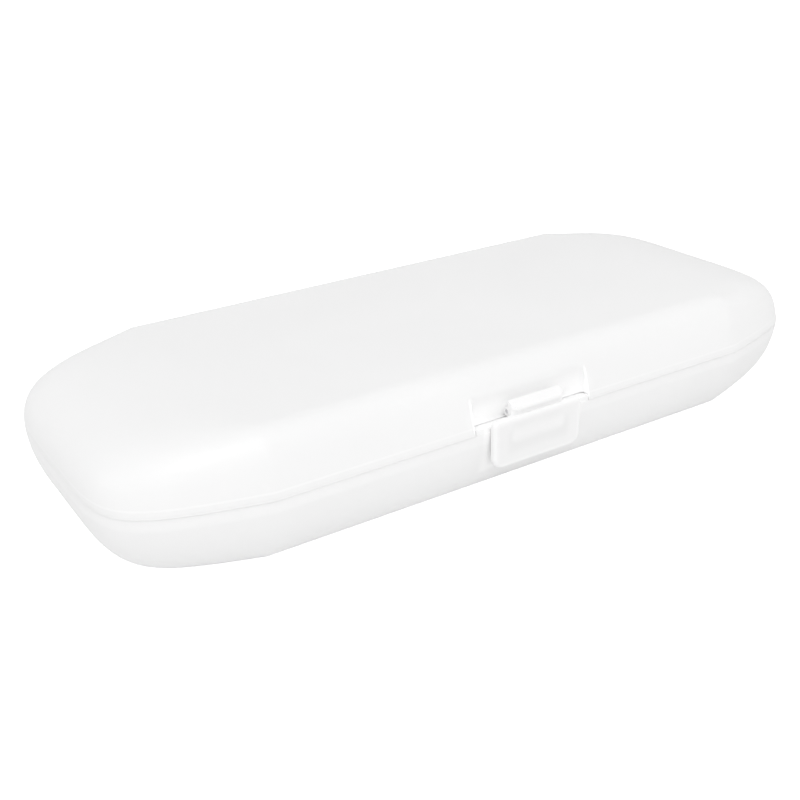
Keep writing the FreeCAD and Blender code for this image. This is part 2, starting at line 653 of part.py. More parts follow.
def brush_tray():
    """An open tray that follows the base's inside, with a saddle rib under the brush at each place."""
    outside = base_form(WALL + TRAY_GAP)
    inside = base_form(WALL + TRAY_GAP + TRAY_WALL)
    room = box(-HALF_LENGTH, HALF_LENGTH, FRONT_Y, TRAY_BACK_Y, 0, TRAY_TOP_Z)
    inner_room = box(-HALF_LENGTH, HALF_LENGTH, FRONT_Y, TRAY_BACK_Y - TRAY_WALL, 0, TRAY_TOP_Z + OVERCUT)
    tray = outside.common(room).cut(inside.common(inner_room))
    for x in SADDLE_X:
        rib = box(x - SADDLE_THICK / 2, x + SADDLE_THICK / 2, FRONT_Y, TRAY_BACK_Y, 0, TRAY_TOP_Z)
        tray = tray.fuse(rib.common(outside.common(room)))
    first = vec(SADDLE_X[0] - SADDLE_THICK, BRUSH_Y, BRUSH_Z)
    last = vec(SADDLE_X[-1] + SADDLE_THICK, BRUSH_Y, BRUSH_Z)
    x0, x1 = window_span(NOTCH_GAP)
    notch_z = WINDOW_Z - WINDOW_TALL / 2 - NOTCH_GAP
    notch_y = TRAY_BACK_Y - TRAY_WALL - OVERCUT
    notch = box(x0, x1, notch_y, TRAY_BACK_Y + OVERCUT, notch_z, TRAY_TOP_Z + OVERCUT)
    return tray.cut(rod(BRUSH_R, first, last)).cut(notch).removeSplitter()


def tray_reflector():
    """A bent strip: flat under the bristles, then leaning up in front of them."""
    t = REFLECTOR_THICK
    low = WALL + TRAY_GAP + TRAY_WALL + 2 * SMALL_GAP
    high = TRAY_TOP_Z - REFLECTOR_BELOW_TRAY
    back = TRAY_BACK_Y - TRAY_WALL - REFLECTOR_GAP
    bend = BRUSH_Y - REFLECTOR_FLAT
    front = BRUSH_Y - REFLECTOR_REACH
    under = [(back, low), (bend, low), (front, high)]
    over = [(front + t, high), (bend + t / 2, low + t), (back, low + t)]
    x0, x1 = window_span(0.0)
    return prism(under + over, x0, x1)


# ---- module -------------------------------------------------------------------------
def module_plan(inset, z0, z1):
    """The module's outline, an oblong with the lamp pod at its left end, moved in by inset."""
    front = MODULE_FRONT + inset
    main = box(MODULE_LEFT + inset, MODULE_RIGHT - inset, front, MODULE_BACK - inset, z0, z1)
    pod = box(POD_LEFT + inset, MODULE_LEFT + inset + OVERCUT, front, POD_BACK - inset, z0, z1)
    return main.fuse(pod).removeSplitter()


def rounded_uprights(shape, radius):
    return shape.makeFillet(radius, edges_along(shape, "z"))


def cover_screw_places():
    inset = MODULE_WALL + BOSS_R + BOSS_SPACE
    dx = (MODULE_RIGHT - MODULE_LEFT) / 2 - inset
    dy = (MODULE_BACK - MODULE_FRONT) / 2 - inset
    return [(MODULE_MID_X + sx * dx, MODULE_MID_Y + sy * dy) for sx in (-1, 1) for sy in (-1, 1)]


def board_screw_places():
    in_x, in_y = BOARD_SCREW_INSET
    return [(BOARD_LEFT + in_x, BOARD_FRONT + in_y), (BOARD_RIGHT - in_x, BOARD_BACK - in_y)]


def upright_rods(places, radius, z0, z1):
    """Upright rods at each place, to be fused as bosses or cut as holes."""
    return Part.makeCompound([rod(radius, vec(x, y, z0), vec(x, y, z1)) for x, y in places])


def screws(places, seat_z, length):
    """Pan-head screws pointing down, with a cross slot."""
    made = []
    for x, y in places:
        top = seat_z + SCREW_HEAD_TALL
        head = rod(SCREW_HEAD_R, vec(x, y, seat_z), vec(x, y, top))
        head = head.makeFillet(SCREW_HEAD_ROUND, [e for e in head.Edges if e.CenterOfMass.z > top - 0.01])
        shank = rod(SCREW_R, vec(x, y, seat_z - length), vec(x, y, seat_z))
        low = top - SLOT_DEEP
        along = box(x - SLOT_REACH, x + SLOT_REACH, y - SLOT_HALF, y + SLOT_HALF, low, top + OVERCUT)
        across = box(x - SLOT_HALF, x + SLOT_HALF, y - SLOT_REACH, y + SLOT_REACH, low, top + OVERCUT)
        made.append(head.fuse(shank).cut(along.fuse(across)).removeSplitter())
    return made


def cell_bay(extra, z0, z1):
    """The battery bay's oblong, grown by extra all round."""
    y0 = MODULE_MID_Y - CELL_BAY_HALF - extra
    y1 = MODULE_MID_Y + CELL_BAY_HALF + extra
    return box(CELL_BAY_LEFT - extra, CELL_BAY_RIGHT + extra, y0, y1, z0, z1)


def lamp_board_ribs():
    """Two ribs that hold the lamp board upright from behind."""
    behind = LAMP_BOARD_Y + BOARD_THICK + SMALL_GAP
    top = TUB_FLOOR_Z + LAMP_BOARD_TALL * LAMP_RIB_SHARE
    places = [POD_MID_X + side * (WINDOW_LONG / 2 - LAMP_RIB) for side in (-1, 1)]
    half = LAMP_RIB / 2
    low = TUB_FLOOR_Z - SMALL_GAP
    return [box(x - half, x + half, behind, behind + half, low, top) for x in places]


def window_cuts():
    """The window's seat, cut from outside, and the opening behind it that leaves a ledge."""
    x0, x1 = window_span(SMALL_GAP)
    z0 = WINDOW_Z - WINDOW_TALL / 2 - SMALL_GAP
    z1 = WINDOW_Z + WINDOW_TALL / 2 + SMALL_GAP
    seat = box(x0, x1, MODULE_FRONT - OVERCUT, MODULE_FRONT + WINDOW_THICK, z0, z1)
    ledge = WINDOW_LEDGE
    y0, y1 = MODULE_FRONT - OVERCUT, TUB_FRONT + OVERCUT
    return seat.fuse(box(x0 + ledge, x1 - ledge, y0, y1, z0 + ledge, z1 - ledge))


def module_housing():
    tub = rounded_uprights(module_plan(0.0, MODULE_FLOOR_Z, MODULE_TOP_Z), MODULE_CORNER_R)
    tub = tub.cut(module_plan(MODULE_WALL, TUB_FLOOR_Z, MODULE_TOP_Z + OVERCUT))
    tub = tub.fuse(upright_rods(cover_screw_places(), BOSS_R, MODULE_FLOOR_Z, MODULE_TOP_Z))
    tub = tub.fuse(upright_rods(board_screw_places(), BOARD_BOSS_R, MODULE_FLOOR_Z, BOARD_Z))
    wall_top = CELL_Z + CELL_R - OVERCUT
    ring = cell_bay(PARTITION, TUB_FLOOR_Z, wall_top).cut(cell_bay(0.0, TUB_FLOOR_Z, wall_top + OVERCUT))
    tub = tub.fuse([ring] + lamp_board_ribs())
    tub = tub.cut(window_cuts())
    held = SCREW_R + FIT_GAP
    free = SCREW_R + SCREW_HOLE_GAP
    cover_depth = COVER_SCREW_LONG - COVER_THICK + MERGE
    board_depth = BOARD_SCREW_LONG - BOARD_THICK + MERGE
    top = MODULE_TOP_Z + OVERCUT
    tub = tub.cut(upright_rods(cover_screw_places(), held, MODULE_TOP_Z - cover_depth, top))
    tub = tub.cut(upright_rods(board_screw_places(), held, BOARD_Z - board_depth, top))
    tub = tub.cut(upright_rods(module_screw_places(), free, MODULE_FLOOR_Z - OVERCUT, top))
    return tub.removeSplitter()


def door_span():
    return CELL_BAY_LEFT - DOOR_LAP, CELL_BAY_RIGHT + DOOR_LAP


def cover_lip():
    """The low wall under the cover that centres it in the housing."""
    low = MODULE_TOP_Z - COVER_LIP_TALL
    outer = MODULE_WALL + SMALL_GAP
    lip = module_plan(outer, low, MODULE_TOP_Z)
    lip = lip.cut(module_plan(outer + COVER_LIP_THICK, low - OVERCUT, MODULE_TOP_Z + OVERCUT))
    return lip.cut(upright_rods(cover_screw_places(), BOSS_R + SMALL_GAP, low - OVERCUT, MODULE_TOP_Z))


def door_rails():
    """Two rails of L section that the door slides in."""
    x0, x1 = door_span()
    under = DOOR_Z + DOOR_THICK + SMALL_GAP
    top = under + RAIL_LIP
    rails = []
    for side in (-1, 1):
        inner = MODULE_MID_Y + side * (CELL_BAY_HALF + DOOR_LAP + SMALL_GAP)
        outer = inner + side * RAIL_WALL
        y0, y1 = sorted((inner, outer))
        rails.append(box(x0, x1, y0, y1, COVER_TOP_Z, top))
        y0, y1 = sorted((inner - side * RAIL_LIP, outer))
        rails.append(box(x0, x1, y0, y1, under, top))
    return rails


def module_cover():
    """Top plate, with the battery opening, the door's rails and the holes for the button and light guide."""
    cover = rounded_uprights(module_plan(0.0, MODULE_TOP_Z, COVER_TOP_Z), MODULE_CORNER_R)
    cover = cover.fuse([cover_lip()] + door_rails())
    cover = cover.cut(cell_bay(0.0, MODULE_TOP_Z - OVERCUT, COVER_TOP_Z + FIT_GAP))
    low, high = MODULE_TOP_Z - OVERCUT, COVER_TOP_Z + OVERCUT
    cover = cover.cut(upright_rods([(BUTTON_X, MODULE_MID_Y)], BUTTON_R + BUTTON_GAP, low, high))
    cover = cover.cut(upright_rods([(GUIDE_X, MODULE_MID_Y)], GUIDE_R + RUN_GAP, low, high))
    cover = cover.cut(upright_rods(cover_screw_places(), SCREW_R + SCREW_HOLE_GAP, low, high))
    return cover.removeSplitter()


def battery_door():
    """Flat door with three finger ribs. It slides towards -X, out of its rails."""
    x0, x1 = door_span()
    half = CELL_BAY_HALF + DOOR_LAP
    y, top = MODULE_MID_Y, DOOR_Z + DOOR_THICK
    door = box(x0, x1, y - half, y + half, DOOR_Z, top)
    for k in range(DOOR_RIBS):
        x = x0 + DOOR_RIB_START + DOOR_RIB_PITCH * k
        door = door.fuse(rod(DOOR_RIB_R, vec(x, y - DOOR_RIB_HALF, top), vec(x, y + DOOR_RIB_HALF, top)))
    return door.removeSplitter()


def cell(front):
    """A cell with its nub towards +X, in the front place, or turned round in the rear place."""
    y = MODULE_MID_Y - CELL_PITCH / 2 if front else MODULE_MID_Y + CELL_PITCH / 2
    start = CELL_BAY_LEFT + SMALL_GAP + PLATE_METAL + SPRING_LONG
    end = start + CELL_LONG
    can = rod(CELL_R, vec(start, y, CELL_Z), vec(end, y, CELL_Z))
    can = can.makeFillet(CELL_ROUND, round_edges(can))
    nub = rod(CELL_NUB_R, vec(end - OVERCUT, y, CELL_Z), vec(end + CELL_NUB_LONG, y, CELL_Z))
    whole = can.fuse(nub)
    if not front:
        middle = (CELL_BAY_LEFT + CELL_BAY_RIGHT) / 2
        whole.rotate(vec(middle, y, CELL_Z), vec(0, 0, 1), 180)
    return whole


def battery_springs():
    """One coil spring at each cell's flat end."""
    pitch = (SPRING_LONG - 2 * SPRING_WIRE_R - 2 * SMALL_GAP) / SPRING_TURNS
    helix = Part.makeHelix(pitch, pitch * SPRING_TURNS, SPRING_R)
    along = vec(0, 1, pitch / (2 * math.pi * SPRING_R))
    section = Part.Wire(Part.makeCircle(SPRING_WIRE_R, vec(SPRING_R, 0, 0), along))
    coil = Part.Wire(helix.Edges).makePipeShell([section], True, True)
    coil.rotate(vec(0, 0, 0), vec(0, 1, 0), 90)
    offset = PLATE_METAL + SMALL_GAP * 2 + SPRING_WIRE_R
    first = coil.copy()
    first.translate(vec(CELL_BAY_LEFT + offset, MODULE_MID_Y - CELL_PITCH / 2, CELL_Z))
    second = coil.copy()
    far_x = CELL_BAY_RIGHT - offset - pitch * SPRING_TURNS
    second.translate(vec(far_x, MODULE_MID_Y + CELL_PITCH / 2, CELL_Z))
    return [first, second]


def terminal_plates():
    x = CELL_BAY_LEFT + SMALL_GAP
    top = CELL_Z + CONTACT_HALF
    plates = []
    for side in (-1, 1):
        y = MODULE_MID_Y + side * CELL_PITCH / 2
        plates.append(box(x, x + PLATE_METAL, y - CONTACT_HALF, y + CONTACT_HALF, TUB_FLOOR_Z, top))
    return plates


def bridge_plate():
    x = CELL_BAY_RIGHT - SMALL_GAP
    half = CELL_PITCH / 2 + CONTACT_HALF
    y0, y1 = MODULE_MID_Y - half, MODULE_MID_Y + half
    return box(x - PLATE_METAL, x, y0, y1, TUB_FLOOR_Z, CELL_Z + CONTACT_HALF)


def circuit_board():
    board = box(BOARD_LEFT, BOARD_RIGHT, BOARD_FRONT, BOARD_BACK, BOARD_Z, BOARD_TOP_Z)
    board = rounded_uprights(board, BOARD_CORNER_R)
    radius = SCREW_R + SCREW_HOLE_GAP
    return board.cut(upright_rods(board_screw_places(), radius, BOARD_Z - OVERCUT, BOARD_TOP_Z + OVERCUT))


def on_board(x, y, size):
    """A block standing on the board, centred on x, y."""
    long, wide, tall = size
    return box(x - long / 2, x + long / 2, y - wide / 2, y + wide / 2, BOARD_TOP_Z, BOARD_TOP_Z + tall)


def control_chip():
    """A flat package with a row of legs along each long side."""
    x, y = BOARD_LEFT + CHIP_INSET[0], BOARD_FRONT + CHIP_INSET[1]
    body = on_board(x, y, CHIP_SIZE)
    aside = (CHIP_SIZE[1] + CHIP_LEG_SIZE[1]) / 2 - SMALL_GAP
    for k in range(CHIP_LEGS):
        leg_x = x + (k - (CHIP_LEGS - 1) / 2) * CHIP_LEG_PITCH
        for side in (-1, 1):
            body = body.fuse(on_board(leg_x, y + side * aside, CHIP_LEG_SIZE))
    return body


def boost_coil():
    """A wound core between two flanges."""
    x, y = BOARD_RIGHT - COIL_INSET[0], BOARD_FRONT + COIL_INSET[1]
    top = BOARD_TOP_Z + COIL_TALL
    foot = rod(COIL_R, vec(x, y, BOARD_TOP_Z), vec(x, y, BOARD_TOP_Z + COIL_FLANGE))
    core = rod(COIL_CORE_R, vec(x, y, BOARD_TOP_Z), vec(x, y, top))
    head = rod(COIL_R, vec(x, y, top - COIL_FLANGE), vec(x, y, top))
    return foot.fuse(core).fuse(head)


def storage_capacitors():
    made = []
    top = BOARD_TOP_Z + CAN_TALL
    for k in range(2):
        x, y = BOARD_RIGHT - CAN_INSET[0] + CAN_PITCH * k, BOARD_BACK - CAN_INSET[1]
        can = rod(CAN_R, vec(x, y, BOARD_TOP_Z), vec(x, y, top))
        made.append(can.makeFillet(CAN_ROUND, [e for e in can.Edges if e.CenterOfMass.z > top - 0.01]))
    return made


def reed_sensor():
    x, y = magnet_place()
    return on_board(x, y, REED_SIZE)


def tact_switch():
    """A square body with a round plunger, straight under the button."""
    low = vec(BUTTON_X, MODULE_MID_Y, BOARD_TOP_Z)
    plunger = rod(PLUNGER_R, low, low + vec(0, 0, PLUNGER_TOP))
    return on_board(BUTTON_X, MODULE_MID_Y, SWITCH_SIZE).fuse(plunger)


def flanged_pin(x, radius, low_z, high_z):
    """A round pin through the cover, held under it by a flange."""
    y = MODULE_MID_Y
    flange_top = MODULE_TOP_Z - SMALL_GAP
    flange_low = flange_top - FLANGE_TALL
    pin = rod(radius, vec(x, y, flange_low), vec(x, y, high_z))
    pin = pin.makeFillet(PIN_ROUND, [e for e in pin.Edges if e.CenterOfMass.z > high_z - 0.01])
    flange = rod(radius + FLANGE_EXTRA, vec(x, y, flange_low), vec(x, y, flange_top))
    stem = rod(radius * STEM_SHARE, vec(x, y, low_z), vec(x, y, flange_top))
    return pin.fuse(flange).fuse(stem).removeSplitter()


def cycle_button():
    low_z = BOARD_TOP_Z + PLUNGER_TOP + BUTTON_TRAVEL + SMALL_GAP
    return flanged_pin(BUTTON_X, BUTTON_R, low_z, COVER_TOP_Z + BUTTON_PROUD)


def light_guide():
    low_z = BOARD_TOP_Z + LED_SIZE[2] + GUIDE_GAP
    return flanged_pin(GUIDE_X, GUIDE_R, low_z, COVER_TOP_Z + GUIDE_GAP)


def status_led():
    return on_board(GUIDE_X, MODULE_MID_Y, LED_SIZE)


def lamp_board():
    half = WINDOW_LONG / 2 + LAMP_BOARD_LAP
    z = TUB_FLOOR_Z + SMALL_GAP
    y = LAMP_BOARD_Y
    return box(POD_MID_X - half, POD_MID_X + half, y, y + BOARD_THICK, z, z + LAMP_BOARD_TALL)


def lamp_leds():
    """Square packages on the lamp board, each with a low dome, facing the brush."""
    made = []
    s = LAMP_SIDE / 2
    front = LAMP_BOARD_Y - LAMP_TALL
    for k in range(LAMP_COUNT):
        x = POD_MID_X + (k - (LAMP_COUNT - 1) / 2) * LAMP_PITCH
        body = box(x - s, x + s, front, LAMP_BOARD_Y, WINDOW_Z - s, WINDOW_Z + s)
        ball = Part.makeSphere(LAMP_DOME_R, vec(x, front + LAMP_DOME_R - LAMP_DOME_TALL, WINDOW_Z))
        room = box(x - s, x + s, front - LAMP_SIDE, front + SMALL_GAP, WINDOW_Z - s, WINDOW_Z + s)
        made.append(body.fuse(ball.common(room)))
    return made


def lamp_window():
    x0, x1 = window_span(0.0)
    z0, z1 = WINDOW_Z - WINDOW_TALL / 2, WINDOW_Z + WINDOW_TALL / 2
    return box(x0, x1, MODULE_FRONT, MODULE_FRONT + WINDOW_THICK - FIT_GAP, z0, z1)


def bent_wire(points, bend):
    """A round wire along straight runs joined by arcs."""
    edges = []
    last = points[0]
    for k in range(1, len(points) - 1):
        here = points[k]
        back = (points[k - 1] - here).normalize()
        ahead = (points[k + 1] - here).normalize()
        start = here + back * bend
        end = here + ahead * bend
        middle = here + (back + ahead) * (bend * (1 - math.sqrt(0.5)))
        edges.append(Part.makeLine(last, start))
        edges.append(Part.Arc(start, middle, end).toShape())
        last = end
    edges.append(Part.makeLine(last, points[-1]))
    path = Part.Wire(edges)
    section = Part.Wire(Part.makeCircle(WIRE_R, points[0], points[1] - points[0]))
    return path.makePipeShell([section], True, False)


def lamp_wires():
    """Two wires from the back of the lamp board, over the circuit board and down to it."""
    made = []
    start_y = LAMP_BOARD_Y + BOARD_THICK
    z = BOARD_TOP_Z + WIRE_RISE
    for k in range(2):
        x = POD_MID_X + (k - 0.5) * WIRE_PITCH[0]
        y = start_y + WIRE_RUN_BEHIND - WIRE_PITCH[1] * k
        end_x = BOARD_LEFT + WIRE_END - WIRE_END_PITCH * k
        points = [vec(x, start_y, z), vec(x, y, z), vec(end_x, y, z), vec(end_x, y, BOARD_TOP_Z)]
        made.append(bent_wire(points, WIRE_BEND))
    return made


def hold_down_pads():
    """Soft blocks under the lid, hollowed to the brush handle."""
    top = HEIGHT - WALL
    made = []
    for x in SADDLE_X[1:]:
        x0, x1 = x - PAD_LONG / 2, x + PAD_LONG / 2
        y0, y1 = BRUSH_Y - PAD_WIDE / 2, BRUSH_Y + PAD_WIDE / 2
        pad = box(x0, x1, y0, y1, BRUSH_Z + BRUSH_R * PAD_DEPTH, top)
        pad = rounded_uprights(pad, PAD_CORNER_R)
        start, end = vec(x0 - OVERCUT, BRUSH_Y, BRUSH_Z), vec(x1 + OVERCUT, BRUSH_Y, BRUSH_Z)
        made.append(pad.cut(rod(BRUSH_R + PAD_GRIP, start, end)))
    return made


PIECES = {
    "base_shell": base_shell,
    "lid_shell": lid_shell,
    "hinge_pins": hinge_pins,
    "clasp": clasp,
    "clasp_pin": clasp_pin,
    "brush_tray": brush_tray,
    "tray_reflector": tray_reflector,
    "module_housing": module_housing,
    "module_cover": module_cover,
    "battery_door": battery_door,
    "battery_cell_front": lambda: cell(True),
    "battery_cell_rear": lambda: cell(False),
    "battery_springs": battery_springs,
    "terminal_plates": terminal_plates,
    "bridge_plate": bridge_plate,
    "circuit_board": circuit_board,
    "control_chip": control_chip,
    "boost_coil": boost_coil,
    "storage_capacitors": storage_capacitors,
    "reed_sensor": reed_sensor,
    "tact_switch": tact_switch,
    "cycle_button": cycle_button,
    "status_led": status_led,
    "light_guide": light_guide,
    "lamp_board": lamp_board,
    "lamp_leds": lamp_leds,
    "lamp_window": lamp_window,
    "lamp_wires": lamp_wires,
    "lid_magnet": lid_magnet,
    "hold_down_pads": hold_down_pads,
    "cover_screws": lambda: screws(cover_screw_places(), COVER_TOP_Z, COVER_SCREW_LONG),
    "module_screws": lambda: screws(module_screw_places(), TUB_FLOOR_Z, MODULE_SCREW_LONG),
    "board_screws": lambda: screws(board_screw_places(), BOARD_TOP_Z, BOARD_SCREW_LONG),
}

os.makedirs("parts", exist_ok=True)
for name, make in PIECES.items():
    save(name, make())
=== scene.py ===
import json
import math
import bpy
from mathutils import Matrix, Vector


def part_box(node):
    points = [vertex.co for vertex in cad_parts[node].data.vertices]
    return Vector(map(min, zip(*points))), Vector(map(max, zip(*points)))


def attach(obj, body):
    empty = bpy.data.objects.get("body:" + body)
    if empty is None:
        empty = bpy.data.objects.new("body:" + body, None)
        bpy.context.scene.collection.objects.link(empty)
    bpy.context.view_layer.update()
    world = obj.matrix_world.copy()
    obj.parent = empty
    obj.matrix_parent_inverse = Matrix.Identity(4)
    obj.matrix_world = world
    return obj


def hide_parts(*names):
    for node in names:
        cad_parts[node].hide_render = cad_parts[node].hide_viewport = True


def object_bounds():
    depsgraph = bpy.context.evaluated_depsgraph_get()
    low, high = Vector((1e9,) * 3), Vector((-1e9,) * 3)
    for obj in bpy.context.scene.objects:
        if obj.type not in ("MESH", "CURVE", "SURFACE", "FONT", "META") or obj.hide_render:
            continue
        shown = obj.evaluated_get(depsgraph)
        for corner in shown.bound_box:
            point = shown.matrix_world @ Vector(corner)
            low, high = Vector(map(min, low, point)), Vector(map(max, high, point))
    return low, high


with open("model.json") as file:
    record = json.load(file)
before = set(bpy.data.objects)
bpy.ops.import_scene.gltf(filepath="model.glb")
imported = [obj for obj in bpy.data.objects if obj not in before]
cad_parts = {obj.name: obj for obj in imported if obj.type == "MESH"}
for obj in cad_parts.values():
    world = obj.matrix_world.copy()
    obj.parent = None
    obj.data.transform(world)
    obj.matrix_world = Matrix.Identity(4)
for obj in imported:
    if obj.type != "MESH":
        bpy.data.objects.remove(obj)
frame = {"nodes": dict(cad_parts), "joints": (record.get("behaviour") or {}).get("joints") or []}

cad_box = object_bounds()

# ---- Camera -----------------------------------------------------------------------------
# Someone standing at a counter looks down at the case from the left of its clasp, about 31 cm
# from its middle, with the head tilted very slightly.
MM = 0.001               # sizes are in millimetres, times MM
CAMERA_PLACE = Vector((-158.55, -237.53, 139.88)) * MM
CAMERA_HEADING = math.radians(-31.98)    # about +Z, from looking along +Y
CAMERA_DOWN = math.radians(24.85)
CAMERA_ROLL = math.radians(-1.73)
LENS_LONG = 50.85        # the lens and its sensor are in Blender's own millimetres
SENSOR_WIDE = 36.0
NEAREST = 10 * MM

camera_data = bpy.data.cameras.new("camera")
camera_data.lens = LENS_LONG
camera_data.sensor_width = SENSOR_WIDE
camera_data.clip_start = NEAREST
camera = bpy.data.objects.new("camera", camera_data)
heading = Matrix.Rotation(CAMERA_HEADING, 4, "Z")
tilt = Matrix.Rotation(math.radians(90) - CAMERA_DOWN, 4, "X")
roll = Matrix.Rotation(CAMERA_ROLL, 4, "Z")
camera.matrix_world = Matrix.Translation(CAMERA_PLACE) @ heading @ tilt @ roll
bpy.context.scene.collection.objects.link(camera)
bpy.context.scene.camera = camera
bpy.context.scene.view_settings.view_transform = "Standard"


# ---- Counter and studio light -----------------------------------------------------------
# A sheet of white acrylic, large enough to fill the view and lit from below as well as from above,
# under a white tent with a large soft box over the front left and a weak one low on the left.
def add_node(tree, kind, inputs=None, **settings):
    """Adds a shader node. An input given as a socket is linked, and any other is a plain value."""
    made = tree.nodes.new(kind)
    for key, value in settings.items():
        setattr(made, key, value)
    for key, value in (inputs or {}).items():
        if isinstance(value, bpy.types.NodeSocket):
            tree.links.new(value, made.inputs[key])
        else:
            made.inputs[key].default_value = value
    return made


def new_finish(name, **plain):
    """A material with one Principled shader, and the socket that gives a point's place on the object."""
    material = bpy.data.materials.new(name)
    material.use_nodes = True
    tree = material.node_tree
    tree.nodes.clear()
    sockets = {key.replace("_", " "): value for key, value in plain.items()}
    shader = add_node(tree, "ShaderNodeBsdfPrincipled", sockets)
    add_node(tree, "ShaderNodeOutputMaterial", {"Surface": shader.outputs["BSDF"]})
    place = add_node(tree, "ShaderNodeTexCoord").outputs["Object"]
    return material, tree, shader, place


def spread(tree, value, low, high, start=0.0, end=1.0, kind="LINEAR"):
    """Runs from low to high as a value goes from start to end."""
    inputs = {"Value": value, "From Min": start, "From Max": end, "To Min": low, "To Max": high}
    return add_node(tree, "ShaderNodeMapRange", inputs, interpolation_type=kind).outputs["Result"]


WHITE = (1, 1, 1, 1)
TENT_GLOW = 0.75
BACKLIGHT_SEEN = 0.9     # what the camera sees of the glow from below
BACKLIGHT_CAST = 0.11    # what of it reaches the case
FLOOR_SIZE = 8.0
FLOOR_DROP = 0.1 * MM    # under the case
FLOOR_COLOUR = (0.81, 0.81, 0.81, 1)

bpy.ops.mesh.primitive_plane_add(size=FLOOR_SIZE, location=(0, 0, -FLOOR_DROP))
floor = bpy.context.object
floor.name = "floor"
acrylic, tree, shader, place = new_finish(
    "white_acrylic", Base_Color=FLOOR_COLOUR, Roughness=0.8, Specular_IOR_Level=0.1, Emission_Color=WHITE,
)
seen = add_node(tree, "ShaderNodeLightPath").outputs["Is Camera Ray"]
tree.links.new(spread(tree, seen, BACKLIGHT_CAST, BACKLIGHT_SEEN), shader.inputs["Emission Strength"])
floor.data.materials.append(acrylic)

tent = bpy.data.worlds.new("tent")
tent.use_nodes = True
glow = tent.node_tree.nodes["Background"]
glow.inputs["Color"].default_value = WHITE
seen = add_node(tent.node_tree, "ShaderNodeLightPath").outputs["Is Camera Ray"]
tent.node_tree.links.new(spread(tent.node_tree, seen, TENT_GLOW, 1.0), glow.inputs["Strength"])
bpy.context.scene.world = tent


def soft_box(name, place, size, watts):
    """A square area light aimed at the middle of the case."""
    data = bpy.data.lights.new(name, "AREA")
    data.size = size
    data.energy = watts
    lamp = bpy.data.objects.new(name, data)
    aim = (cad_box[0] + cad_box[1]) / 2 - Vector(place)
    lamp.matrix_world = Matrix.Translation(place) @ aim.to_track_quat("-Z", "Y").to_matrix().to_4x4()
    bpy.context.scene.collection.objects.link(lamp)


soft_box("soft_box_front", place=(-0.2, -0.52, 0.72), size=0.55, watts=2.3)
soft_box("soft_box_left", place=(-0.9, 0.3, 0.4), size=0.5, watts=0.45)


# ---- Lower shell ------------------------------------------------------------------------
# Moulded in frosted polypropylene, 1.6 mm thick, with a satin grain outside. A tongue inside the
# rim doubles the wall there, so the top few millimetres let less light through and look whiter.
nodes = frame["nodes"]
joints = {joint["name"]: joint for joint in frame["joints"]}

JOIN_WITHIN = 0.001 * MM                 # corners of the loose triangles
FLAT_WITHIN = math.radians(0.2)
ROUNDED_ABOVE = math.radians(40)
SMOOTH_BELOW = math.radians(35)


def merged_copy(node, name):
    """A copy of a CAD piece as one joined skin, with its flat faces made whole."""
    bpy.ops.object.select_all(action="DESELECT")
    piece = bpy.data.objects.new(name, nodes[node].data.copy())
    bpy.context.scene.collection.objects.link(piece)
    bpy.context.view_layer.objects.active = piece
    piece.select_set(True)
    bpy.ops.object.mode_set(mode="EDIT")
    bpy.ops.mesh.select_all(action="SELECT")
    bpy.ops.mesh.customdata_custom_splitnormals_clear()
    bpy.ops.mesh.remove_doubles(threshold=JOIN_WITHIN)
    bpy.ops.mesh.dissolve_limited(angle_limit=FLAT_WITHIN)
    bpy.ops.object.mode_set(mode="OBJECT")
    piece.data.materials.clear()
    return piece


def round_edges(piece, width, segments=2):
    """Rounds the sharp edges, then smooths the shading between them."""
    bevel = piece.modifiers.new("edge_round", "BEVEL")
    bevel.limit_method = "ANGLE"
    bevel.angle_limit = ROUNDED_ABOVE
    bevel.width = width
    bevel.segments = segments
    bevel.miter_outer = "MITER_ARC"
    bpy.context.view_layer.objects.active = piece
    bpy.ops.object.modifier_apply(modifier=bevel.name)
    bpy.ops.object.select_all(action="DESELECT")
    piece.select_set(True)
    bpy.ops.object.shade_smooth_by_angle(angle=SMOOTH_BELOW)
    weights = piece.modifiers.new("flat_faces_lead", "WEIGHTED_NORMAL")
    weights.keep_sharp = True
    bpy.ops.object.modifier_apply(modifier=weights.name)


def finish_piece(piece, material, body, slot, *replaced):
    """Gives a made piece its material and body, and hides the CAD nodes that it stands for. The slot is not
    used.
    """
    piece.data.materials.append(material)
    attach(piece, body)
    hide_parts(*replaced)


def new_group(name, inputs, outputs):
    """An empty shader node group with named sockets. Inputs are (name, kind, value)."""
    group = bpy.data.node_groups.new(name, "ShaderNodeTree")
    for label, kind, value in inputs:
        socket = group.interface.new_socket(label, in_out="INPUT", socket_type="NodeSocket" + kind)
        if value is not None:
            socket.default_value = value
    for label, kind in outputs:
        group.interface.new_socket(label, in_out="OUTPUT", socket_type="NodeSocket" + kind)
    taken = group.nodes.new("NodeGroupInput").outputs
    given = group.nodes.new("NodeGroupOutput").inputs
    return group, taken, given


def compute(tree, operation, first, second=0.0):
    """One step of arithmetic."""
    return add_node(tree, "ShaderNodeMath", {0: first, 1: second}, operation=operation).outputs[0]


def compute_vector(tree, operation, first, second=(0, 0, 0)):
    return add_node(tree, "ShaderNodeVectorMath", {0: first, 1: second}, operation=operation).outputs


def tone(tree, colour, mask, other):
    """Mixes a colour towards another by a mask."""
    inputs = {"Factor": mask, "A": colour, "B": other}
    return add_node(tree, "ShaderNodeMix", inputs, data_type="RGBA").outputs["Result"]


